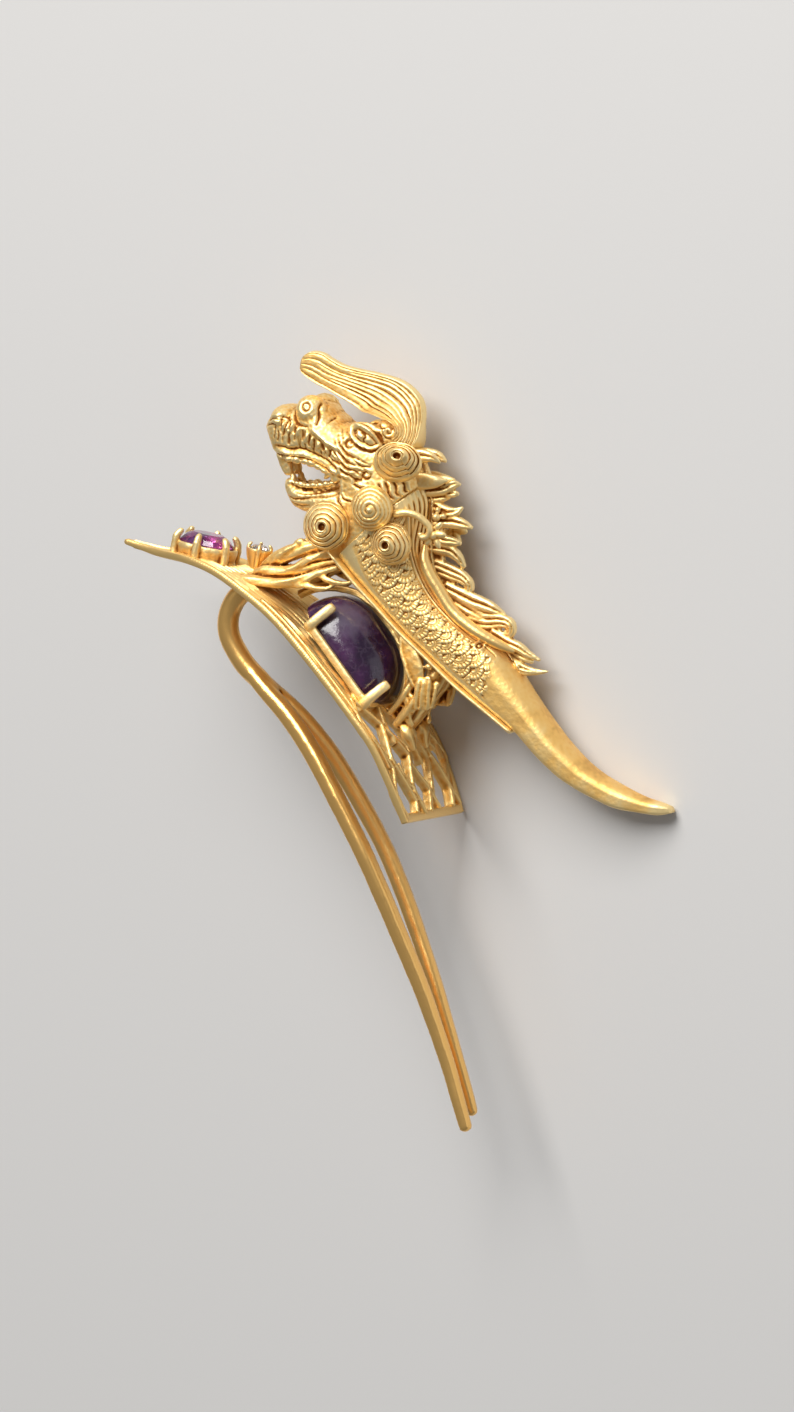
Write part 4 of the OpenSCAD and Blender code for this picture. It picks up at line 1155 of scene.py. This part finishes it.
# %% Strokes for the snout's tufts
# leaf-shaped barbs, each from an upper line to a lower one, with a ridge beside its middle
TUFT_TOP = [(-25.6, 11.7), (-24.4, 12.5), (-22.9, 12.9), (-21.4, 13.4), (-19.9, 13.9), (-18.6, 14.3)]
TUFT_LOW = [(-25.0, 8.9), (-23.6, 9.6), (-22.5, 10.4), (-21.4, 11.3), (-20.4, 12.1), (-19.2, 13.0),
            (-18.1, 13.8)]
TUFTS = 13
for k in range(TUFTS):
    s = (k + 0.5 + 0.3 * math.sin(k * 2.7)) / TUFTS
    p, q = at_share(TUFT_TOP, s), at_share(TUFT_LOW, s + 0.02 * math.sin(k * 4.1))
    d = q - p
    side = np.array([-d[1], d[0]]) * 0.3
    reach = 0.52 + 0.12 * math.sin(k * 1.9)
    upper = [p - side * 0.5, p + d * 0.28, p + d * reach + side * 0.5]
    ridge = [p - side * 0.1 + (0.27, 0.1), p + d * 0.3 + (0.29, 0.12), p + d * 0.5 + (0.25, 0.16)]
    lower = [p + d * (reach + 0.06) - side * 0.5, p + d * 0.8 - side * 0.1, q + side * 0.3]
    strokes += [(-0.22 - 0.06 * math.sin(k * 1.3), 0.1, upper), (0.22, 0.15, ridge),
                (-0.17 - 0.05 * math.sin(k * 2.1), 0.09, lower)]

# %% Strokes for the cheek, the jaw and the neck
# wavy strands over the cheek
CHEEK_TOP = [(-20.2, 16.6), (-19.0, 16.2), (-18.0, 15.9), (-16.6, 16.2), (-15.3, 16.8), (-14.4, 17.6)]
CHEEK_LOW = [(-18.6, 13.6), (-17.9, 13.7), (-17.0, 14.1), (-15.9, 14.1), (-14.9, 14.7), (-13.7, 14.6)]
for k in range(11):
    s = (k + 0.4 * math.sin(k * 2.3)) / 10
    line = []
    for i, (a, b) in enumerate(zip(CHEEK_TOP, CHEEK_LOW)):
        x, y = (1 - s) * a[0] + s * b[0], (1 - s) * a[1] + s * b[1]
        line.append((x + 0.12 * math.sin(3 * i + k), y + 0.14 * math.sin(2.2 * i + 1.7 * k)))
    strokes.append((-0.22 if k % 2 else -0.14, 0.1, line[k % 2:]))
    strokes.append((0.14, 0.16, moved(line[1:-1], 0.05, -0.22)))
# the jaw: long lines, and low teeth along its edge
strokes += [(-0.26, 0.14,
             [(-19.3, 7.2), (-18.6, 7.6), (-17.6, 8.4), (-16.8, 9.6), (-15.9, 11.2), (-15.4, 13.0)]),
            (-0.24, 0.13,
             [(-18.3, 6.1), (-17.6, 6.5), (-16.8, 7.7), (-16.0, 9.2), (-15.0, 10.7), (-14.5, 12.6)]),
            (-0.18, 0.1, [(-18.1, 7.2), (-17.2, 8.1), (-16.3, 9.5), (-15.5, 11.1), (-15.0, 12.6)]),
            (-0.2, 0.12, [(-17.5, 5.9), (-16.4, 6.7), (-15.7, 7.9)]),
            (0.16, 0.3, [(-19.6, 7.5), (-18.5, 8.0), (-17.5, 9.2), (-16.6, 10.6), (-16.1, 12.2)])]
LOW_TEETH = [(-19.9, 8.1), (-19.2, 8.0), (-18.5, 8.3), (-17.9, 9.0), (-17.4, 9.6), (-16.9, 10.4),
             (-16.4, 11.1), (-16.1, 12.0), (-15.8, 12.7)]
strokes += [(0.26, 0.26, [(x, y), (x + 0.08, y + 0.1)]) for x, y in LOW_TEETH]
# folds on the neck and under the jaw
for line in ([(-12.2, 16.9), (-11.6, 16.7), (-11.0, 16.3), (-10.4, 16.4)],
             [(-11.8, 17.6), (-11.2, 17.5), (-10.5, 17.1), (-9.9, 17.2)],
             [(-11.3, 18.4), (-10.7, 18.3), (-10.1, 17.9), (-9.6, 18.0)],
             [(-10.8, 19.2), (-10.3, 19.1), (-9.8, 18.8), (-9.4, 18.9)],
             [(-15.0, 12.8), (-14.2, 12.2), (-13.4, 12.3), (-12.7, 12.9)],
             [(-14.6, 11.9), (-13.8, 11.4), (-12.9, 11.5)], [(-13.9, 14.4), (-13.2, 14.8), (-12.7, 15.5)]):
    strokes += [(-0.26, 0.12, line), (0.16, 0.17, moved(line, 0.12, 0.36))]

# %% Carve the head
apply(carve(head, drawn(strokes)), "SMOOTH", factor=0.5, iterations=2)
laid_down(uneven(head, (0.03, 0.9), (0.045, 0.34, 7.0)), CAST_GILT, "dragon_head")

# %% [markdown]
# ## The crest
# The crest is a fan of wavy ribs that sweeps back from a rounded tip. It is thin at the tip and swells
# towards the head. Sections run across it, and a wave along each section makes the ribs.

# %% The crest
# pairs along the crest: the upper edge's x, y and half thickness, then the lower edge's
CREST = [(-29.7, 15.9, 0.3, -29.6, 15.8, 0.3), (-30.1, 16.5, 0.45, -29.3, 15.6, 0.45),
         (-30.3, 17.2, 0.5, -28.8, 15.5, 0.5), (-30.0, 18.2, 0.5, -28.2, 15.6, 0.5),
         (-29.1, 19.1, 0.5, -27.5, 15.8, 0.5), (-27.7, 19.7, 0.5, -26.6, 16.2, 0.5),
         (-26.4, 20.4, 0.5, -25.7, 16.7, 0.5), (-24.7, 21.8, 0.5, -24.6, 17.2, 0.5),
         (-23.2, 23.2, 0.45, -23.3, 17.8, 0.6), (-21.2, 24.8, 0.4, -21.8, 18.5, 0.9),
         (-19.5, 25.6, 0.4, -20.7, 19.0, 1.5), (-18.0, 25.8, 0.4, -19.9, 19.8, 2.3),
         (-16.9, 25.6, 0.45, -19.0, 20.6, 3.0), (-15.9, 24.95, 0.55, -18.2, 21.3, 3.5),
         (-15.2, 24.25, 0.6, -17.5, 21.9, 3.8), (-14.6, 23.6, 0.8, -17.0, 22.2, 3.95),
         (-14.05, 22.95, 1.1, -16.5, 22.3, 4.0), (-13.65, 22.3, 1.5, -16.0, 22.15, 4.0),
         (-13.4, 21.6, 1.9, -15.7, 21.7, 4.0), (-13.5, 20.9, 2.2, -15.6, 21.2, 4.0)]
# each groove: its share across at the front and at the heel, its depth, and where along the crest it starts
CREST_CUTS = [(0.10, 0.10, 0.15, 0.06), (0.20, 0.21, 0.22, 0.42), (0.30, 0.32, 0.2, 0.1),
              (0.40, 0.43, 0.22, 0.3), (0.47, 0.54, 0.17, 0.08), (0.60, 0.65, 0.22, 0.2),
              (0.70, 0.75, 0.16, 0.1), (0.80, 0.84, 0.2, 0.34), (0.89, 0.91, 0.14, 0.12),
              (0.96, 0.965, 0.16, 0.6)]


def crest_piece():
    rows = smooth_rows(CREST, 9)
    across = np.linspace(0, 1, 91)
    rings = []
    for k, row in enumerate(rows):
        t = k / (len(rows) - 1)
        line = row[3:5] + (row[:2] - row[3:5]) * across[:, None]
        swell = row[5] + (row[2] - row[5]) * across ** 0.75
        cut = np.zeros(len(across))
        for i, (front, heel, depth, start) in enumerate(CREST_CUTS):
            at = front + (heel - front) * t + 0.012 * math.sin(11 * t + 2.3 * i)
            at += 0.006 * math.sin(29 * t + i)
            wide = 0.028 + 0.007 * math.sin(7 * t + i)
            fade = rising(t, start, 0.08) * (0.75 + 0.25 * math.sin(9 * t + 1.7 * i))
            cut = np.maximum(cut, depth * fade * np.exp(-(np.abs(across - at) / wide) ** 1.5))
        ends = np.clip(across * 26, 0, 1) ** 0.5 * np.clip((1 - across) * 18, 0, 1) ** 0.5
        z = (swell + 0.12 - cut) * ends
        near = np.column_stack([line, z])
        far = np.column_stack([line, -z])[::-1]
        rings.append(np.concatenate([near, far[1:-1]]))
    return wrapped("crest_fan", rings)


laid_down(uneven(crest_piece(), (0.03, 1.3), (0.02, 0.35, 3.0)), CAST_GILT, "crest", gain=12.0)

# %% [markdown]
# ## The mane
# Flames with curled tips stand along the back. Each is a flat, tapering hook with a furrow down its
# side, and all grow from one strip beside the long bead.

# %% The mane's flames
MANE_FOOT = [(-12.1, 21.6), (-9.2, 20.4), (-7, 19.3), (-4.3, 17.0), (-2.2, 15.5), (0, 14.7), (3.5, 14.4),
             (7.6, 15.3), (11.2, 16.4), (14, 16.6)]
WEB_EDGE = [(-12.0, 21.7), (-8.9, 20.9), (-6.2, 20.0), (-3.6, 18.1), (-1.6, 16.7), (0.4, 16.0),
            (4.3, 16.1), (8.0, 17.1), (11.6, 17.5), (14.2, 17.1)]
# each flame: points of x, y, z, half width, then the number of furrows
FLAMES = [([(-13.0, 20.9, 1.0, 0.8), (-12.2, 22.0, 1.0, 0.85), (-11.3, 22.9, 1.0, 0.55),
            (-10.2, 23.3, 0.9, 0.12)], 1),
          ([(-11.2, 18.6, 2.2, 0.5), (-10.2, 20.0, 1.6, 1.0), (-9.0, 21.4, 1.2, 0.85),
            (-8.0, 22.9, 1.0, 0.1)], 0),
          ([(-9.3, 19.0, 0.4, 0.6), (-8.2, 20.6, 0.3, 0.7), (-7.6, 21.8, 0.2, 0.6), (-7.4, 22.9, 0.1, 0.5),
            (-6.9, 23.5, 0, 0.12)], 1),
          ([(-8.0, 20.6, 0, 0.3), (-7.0, 21.6, 0, 0.45), (-6.4, 22.4, 0, 0.35), (-6.1, 22.4, 0, 0.1)], 1),
          ([(-8.2, 19.0, 0, 0.6), (-7.2, 20.6, 0, 0.55), (-6.5, 21.4, 0, 0.15)], 1),
          ([(-7.2, 19.3, 0, 0.7), (-5.7, 20.0, 0, 0.75), (-4.9, 20.9, 0, 0.6), (-4.7, 22.1, 0, 0.14)], 1),
          ([(-5.6, 18.2, 0, 0.8), (-4.2, 20.0, 0, 0.8), (-3.2, 20.9, 0, 0.62), (-2.1, 21.6, 0, 0.2)], 1),
          ([(-4.4, 17.0, 0, 0.7), (-3.0, 18.0, 0, 0.65), (-2.3, 18.7, 0, 0.55), (-1.5, 19.4, 0, 0.2)], 1),
          ([(-3.6, 15.8, 0, 0.8), (-1.9, 17.6, 0, 0.75), (-0.6, 18.1, 0, 0.6), (0.9, 18.0, 0, 0.24)], 1),
          ([(-2.0, 14.9, 0, 0.9), (0.4, 16.4, 0, 0.95), (1.7, 17.15, 0, 0.75), (2.7, 17.3, 0, 0.6),
            (3.25, 16.85, 0, 0.5), (3.0, 16.2, 0, 0.42), (2.4, 15.95, 0, 0.36)], 2),
          ([(1.2, 14.7, 0, 0.8), (4.4, 16.4, 0, 1.0), (6.1, 17.6, 0, 0.8), (7.3, 18.3, 0, 0.5),
            (8.2, 18.8, 0, 0.16)], 1),
          ([(3.4, 14.8, 0, 0.8), (5.6, 15.8, 0, 0.75), (7.2, 16.7, 0, 0.5), (8.0, 17.2, 0, 0.2)], 1),
          ([(5.7, 15.1, 0, 0.9), (7.3, 16.4, 0, 1.0), (8.3, 17.8, 0, 0.85), (9.1, 18.5, 0, 0.7),
            (9.8, 18.5, 0, 0.6), (10.25, 17.95, 0, 0.5), (9.75, 17.4, 0, 0.4)], 2),
          ([(8.8, 16.1, 0, 0.8), (10.8, 17.0, 0, 0.75), (12.1, 17.8, 0, 0.65), (13.4, 18.3, 0, 0.45),
            (14.9, 19.1, 0, 0.16)], 1),
          ([(10.4, 16.2, 0, 0.6), (12.1, 17.0, 0, 0.5), (13.6, 17.7, 0, 0.4), (14.6, 18.2, 0, 0.15)], 1),
          ([(10.8, 15.8, 0, 0.8), (12.6, 16.1, 0, 0.85), (14.2, 16.6, 0, 0.7), (15.4, 17.6, 0, 0.45),
            (16.5, 19.1, 0, 0.1)], 2)]


def web():
    """The thin strip that all flames grow from."""
    foot, edge = evenly(MANE_FOOT, 0.2), smooth_rows(WEB_EDGE, 20)
    edge = edge[np.linspace(0, len(edge) - 1, len(foot)).round().astype(int)]
    across = np.linspace(0, 1, 15)
    z = 0.9 - 0.4 * np.sin(math.pi * across ** 0.7) - 0.5 * across
    rings = []
    for p, q in zip(foot, edge):
        line = p + (q - p) * across[:, None]
        rings.append(np.concatenate([np.column_stack([line, z]), np.column_stack([line, -z])[::-1]]))
    return wrapped("web", rings)


# middle and radius
BUDS = [((-5.6, 19.1, 1.0), 0.5), ((-5.2, 19.8, 0.8), 0.36), ((-6.2, 19.7, 0.8), 0.34)]


def flames():
    """Flames away from the middle get a twin on the far side."""
    parts = [web()]
    for points, count in FLAMES:
        blade = flame(points, count, thick=0.62, fuller=0.96)
        parts.append(blade)
        if points[0][2] > 0.5:
            parts.append(mirrored(blade))
    for at, radius in BUDS:
        bud = ball(at, radius)
        parts += [bud, mirrored(bud)]
    return melted(joined("mane_flames", *parts), voxel=0.112, smooth=3)


laid_down(uneven(flames(), (0.03, 0.8), (0.015, 0.3, 6.0)), CAST_GILT, "mane", gain=12.0)

# %% [markdown]
# A long smooth bead hides the foot of the flames, and a wire curl with a flower of small buds sits on
# the shoulder. Both are tubes whose radius changes along them. The far side gets the same ones.

# %% The bead along the back, and the curl on the shoulder
# points of x, y, z, radius
BEAD = [(-3.75, 16.4, 1.8, 0.3), (-2.5, 15.3, 1.95, 0.66), (-0.8, 14.8, 2.0, 0.76), (1.5, 14.6, 2.0, 0.76),
        (4.1, 14.45, 2.0, 0.74), (6.4, 14.9, 2.0, 0.7), (8.9, 15.8, 1.8, 0.66), (10.9, 16.7, 1.4, 0.56),
        (12.4, 17.5, 1.1, 0.24)]
CURL = [(-8.4, 15.9, 4.2, 0.25), (-8.2, 16.5, 4.25, 0.42), (-7.6, 17.6, 4.1, 0.45),
        (-6.5, 18.4, 3.8, 0.44), (-5.1, 18.65, 3.5, 0.42), (-4.3, 18.4, 3.4, 0.42),
        (-4.05, 17.7, 3.4, 0.4), (-4.4, 17.15, 3.45, 0.38), (-4.85, 17.4, 3.5, 0.34)]
# the buds: x, y, z, radius, stretch and turn
PETALS = [(-3.4, 19.0, 3.1, 0.62, (1.5, 0.7, 0.6), 45), (-2.9, 18.2, 3.0, 0.6, (1.5, 0.65, 0.6), -15),
          (-3.6, 17.6, 3.2, 0.55, (1.3, 0.7, 0.6), -70), (-4.2, 19.4, 3.0, 0.5, (1.4, 0.7, 0.6), 95),
          (-3.7, 18.4, 3.3, 0.5, (1, 1, 0.7), 0)]
for side, word in ((1, "near"), (-1, "far")):
    bead = tube(f"long_bead_{word}", [(x, y, z * side, r) for x, y, z, r in BEAD], sides=32, gap=0.2)
    laid_down(uneven(bead, (0.02, 0.6)), WIRE_GILT, f"back_bead_{word}")
    stem = tube("stem", [(x, y, z * side, r) for x, y, z, r in CURL], sides=32, gap=0.12)
    buds = [ball((x, y, z * side), r, stretch, turn) for x, y, z, r, stretch, turn in PETALS]
    curl = melted(joined(f"curl_{word}", stem, *buds), voxel=0.09, smooth=2)
    laid_down(uneven(curl, (0.02, 0.5)), CAST_GILT, f"shoulder_curl_{word}")

# %% [markdown]
# ## Whorls
# Each whorl is a cone wound from one strip, so its side climbs in rounded steps that run on as a
# spiral. The height above the cone repeats once per turn, which makes the spiral close by itself.

# %% The eight whorls
# name, x, y, z, radius, the hole's radius, and how far the top leans along and up
WHORLS = [("near_1", -12.7, 20.3, 4.3, 2.75, 0.46, -0.22, 1.38),
          ("near_2", -12.3, 8.7, 4.3, 2.88, 0.46, 0.25, 0.34),
          ("near_3", -10.4, 14.75, 4.8, 2.62, 0, 0.46, 0.5),
          ("near_4", -5.8, 14.1, 4.5, 2.52, 0.42, 0.2, 0.1),
          ("far_1", -15.9, 17.3, 4.5, 2.4, 0.44, 0, 0),
          ("far_2", -12.3, 8.7, 4.3, 2.7, 0.46, 0, 0),
          ("far_3", -10.4, 14.75, 4.7, 2.25, 0, 0, 0),
          ("far_4", -5.8, 14.1, 4.5, 2.25, 0.42, 0, 0)]
WHORL_HIGH, WHORL_SIDES, HOLE_DEPTH = 2.4, 90, 0.55
# the cheek's whorl is a little wide: how much along and across, and which way its long side runs
CHEEK_OVAL, CHEEK_TURN = (1.12, 0.83), math.radians(52)
# for each whorl: the shares of the radius where its strip steps down, how far one turn drifts, and
# its outline
STEPS = {1: [0.25, 0.54, 0.7, 0.85], 2: [0.22, 0.4, 0.6, 0.8, 0.95], 3: [0.36, 0.55, 0.72, 0.88],
         4: [0.28, 0.48, 0.66, 0.83, 0.96]}
DRIFT = {1: 0.25, 2: 1, 3: 1, 4: 1}
OUTLINE = {1: [(0, 2.4), (0.25, 2.34), (0.45, 2.0), (0.66, 1.42), (0.8, 0.9), (0.86, 0.62), (0.97, 0.5),
               (1, 0.2)],
           2: [(0, 2.4), (0.2, 2.32), (0.45, 1.95), (0.7, 1.35), (0.88, 0.75), (0.97, 0.38), (1, 0.12)],
           3: [(0, 2.4), (0.2, 2.35), (0.45, 2.1), (0.7, 1.6), (0.9, 1.05), (0.98, 0.75), (1, 0.2)],
           4: [(0, 2.4), (0.2, 2.35), (0.42, 2.05), (0.6, 1.5), (0.8, 0.95), (0.95, 0.45), (1, 0.12)]}


# %% One whorl
def whorl_rings(kind, radius, eye):
    """Rings of the flat underside, then from the rim to the top, with the strip's dome and seam."""
    a = around(WHORL_SIDES)
    steps = [0.0] + STEPS[kind] + [1.04]
    profile = np.array(OUTLINE[kind])
    rings = [(k, np.zeros(WHORL_SIDES)) for k in (0.2, 0.7, 0.96)]
    for r in np.concatenate([np.linspace(1, 0.94, 7)[:-1], np.linspace(0.94, 0, 66)]):
        wavy = r * (1 + 0.02 * np.sin(3 * a + kind) + 0.012 * np.sin(7 * a - 2 * kind))
        level = np.interp(wavy, steps, range(len(steps))) + DRIFT[kind] * a / (2 * math.pi)
        f = level % 1
        faint = 0.45 + 0.55 * np.sin(a * 0.5 + 0.9 * kind) ** 2
        dome = (0.26 * np.sin(math.pi * f) ** 0.8 + 0.08 * (1 - f)) * faint
        cut = 0.1 * faint * bell(np.minimum(f, 1 - f), 0, 0.1)
        fade = min(1, max(0, r * 4 - 0.35)) * min(1, (1 - r) * 14)
        up = np.interp(r, profile[:, 0], profile[:, 1]) + (dome - cut) * fade - 0.1 * (r > 0.995)
        if eye:
            share = r * radius / eye
            up = up - HOLE_DEPTH * np.clip(1 - share ** 6, 0, 1) + 0.14 * bell(share, 1.5, 0.4)
        rings.append((r, up))
    c, s = np.cos(a), np.sin(a)
    return np.array([np.column_stack([r * radius * c, r * radius * s, up]) for r, up in rings])


def whorl(name, x, y, z, radius, eye, lean_x, lean_y):
    rings = whorl_rings(int(name[-1]), radius, eye)
    if name == "near_1":
        c, s = math.cos(CHEEK_TURN), math.sin(CHEEK_TURN)
        flat = CHEEK_OVAL[0] * np.outer((c, s), (c, s)) + CHEEK_OVAL[1] * np.outer((-s, c), (-s, c))
        rings[:, :, :2] = rings[:, :, :2] @ flat
    lift = np.clip(rings[:, :, 2:3] / WHORL_HIGH, 0, 1.05)
    cone = wrapped(f"coiled_{name}", rings + lift * np.array([lean_x, lean_y, 0]))
    if not eye:
        # no hole: the strip ends in a ball with a smaller one beside it
        top = [ball((lean_x, lean_y, WHORL_HIGH - 0.12), 0.42),
               ball((lean_x + 0.3, lean_y - 0.42, WHORL_HIGH - 0.2), 0.26)]
        melted(joined(cone.name, cone, *top), voxel=0.09, smooth=1)
        cone = bpy.context.view_layer.objects.active
    co = places(cone) + np.array([x, y, z])
    if name.startswith("far"):
        co[:, 2] *= -1
    put(cone, co)
    return outward(cone, FINE_MERGE)


def eye_shade(x, y, z, eye, lean_x, lean_y):
    """How much painted shade darkens the gold at each point: only inside the hole at the whorl's top."""
    def deep(co):
        high = np.clip((np.abs(co[:, 2]) - z) / WHORL_HIGH, 0, 1)
        reach = np.hypot(co[:, 0] - x - lean_x * high, co[:, 1] - y - lean_y * high)
        return 0.3 * (reach < eye * 1.02) * (high > 0.1)
    return deep


# each whorl with a hole gets extra painted shade inside it
for row in WHORLS:
    name, x, y, z, _, eye, lean_x, lean_y = row
    cone = uneven(whorl(*row), (0.02, 0.6), (0.015, 0.3, 2.0))
    shade = eye_shade(x, y, z, eye, lean_x, lean_y) if eye else None
    laid_down(cone, CAST_GILT, f"whorl_{name}", gain=13.0, deep=shade)

# %% [markdown]
# ## Floor, light and camera
# The floor is one wide pale sheet. A big soft light stands above and to the left, as in a photo tent,
# a second one fills the shade, and a small one behind draws a bright line along the rounded metal.

# %% The floor
pick()
bpy.ops.mesh.primitive_plane_add(size=4, location=(0, 0, 0))
floor = bpy.context.object
floor.name = "floor"
paper = Finish("pale_paper")
paper.shader.inputs["Base Color"].default_value = (0.66, 0.655, 0.65, 1)
paper.shader.inputs["Roughness"].default_value = 0.7
paper.reads(paper.bump(paper.cloud(900.0, 4.0), 0.05, 0.0001), "Normal")
floor.data.materials.append(paper.mat)

# %% Light
def soft_light(name, energy, size, at, tint=(1, 1, 1)):
    """A square area light that looks at the object's middle."""
    pick()
    bpy.ops.object.light_add(type="AREA", location=at)
    lamp = bpy.context.object
    lamp.name = name
    lamp.data.energy, lamp.data.size, lamp.data.color = energy, size, tint
    lamp.rotation_euler = (Vector((0, 0, 0.01)) - Vector(at)).to_track_quat("-Z", "Y").to_euler()


# the photograph's own axes in the drawing frame: to its right, up, and towards the viewer
right = Vector((0.56316, 0.72277, -0.40056)).normalized()
towards = right.cross(Vector((-0.80545, 0.58844, -0.07063))).normalized()
up = towards.cross(right)
RIGHT, UP, TOWARDS = (TURN.to_3x3() @ v for v in (right, up, towards))


def seen_from(right, up, towards, far):
    """A place some metres away, in a direction as the viewer sees it."""
    return tuple(far * (right * RIGHT + up * UP + towards * TOWARDS).normalized())


soft_light("key", energy=13.5, size=0.7, at=seen_from(-0.55, 0.75, 0.75, 1.0), tint=(1, 0.98, 0.95))
soft_light("fill", energy=1.4, size=0.9, at=seen_from(0.9, 0.1, 0.8, 1.0), tint=(0.96, 0.97, 1))
soft_light("edge", energy=2.2, size=0.4, at=seen_from(0.3, 0.95, -0.1, 0.8))
sky = bpy.data.worlds.new("studio")
sky.use_nodes = True
background = sky.node_tree.nodes["Background"]
background.inputs["Color"].default_value = (0.92, 0.93, 0.95, 1)
background.inputs["Strength"].default_value = 0.22
bpy.context.scene.world = sky
bpy.context.scene.view_settings.view_transform = "Standard"

# %% Camera
# a long lens from far away, as in the photograph: metres away, metres seen across the long side of the
# picture, and the sensor in millimetres
DISTANCE, SEEN, SENSOR = 2.5, 0.1624, 36
# the picture's middle lies a little to the right of the drawing frame's zero point, and below it
middle = LIE @ (5.75 * right - 5.98 * up)
pick()
bpy.ops.object.camera_add()
camera = bpy.context.object
facing = Matrix((RIGHT, UP, TOWARDS)).transposed().to_4x4()
camera.matrix_world = Matrix.Translation(middle + TOWARDS * DISTANCE) @ facing
camera.data.sensor_width = SENSOR
camera.data.lens = SENSOR * DISTANCE / SEEN
camera.data.clip_start = 0.05
bpy.context.scene.camera = camera
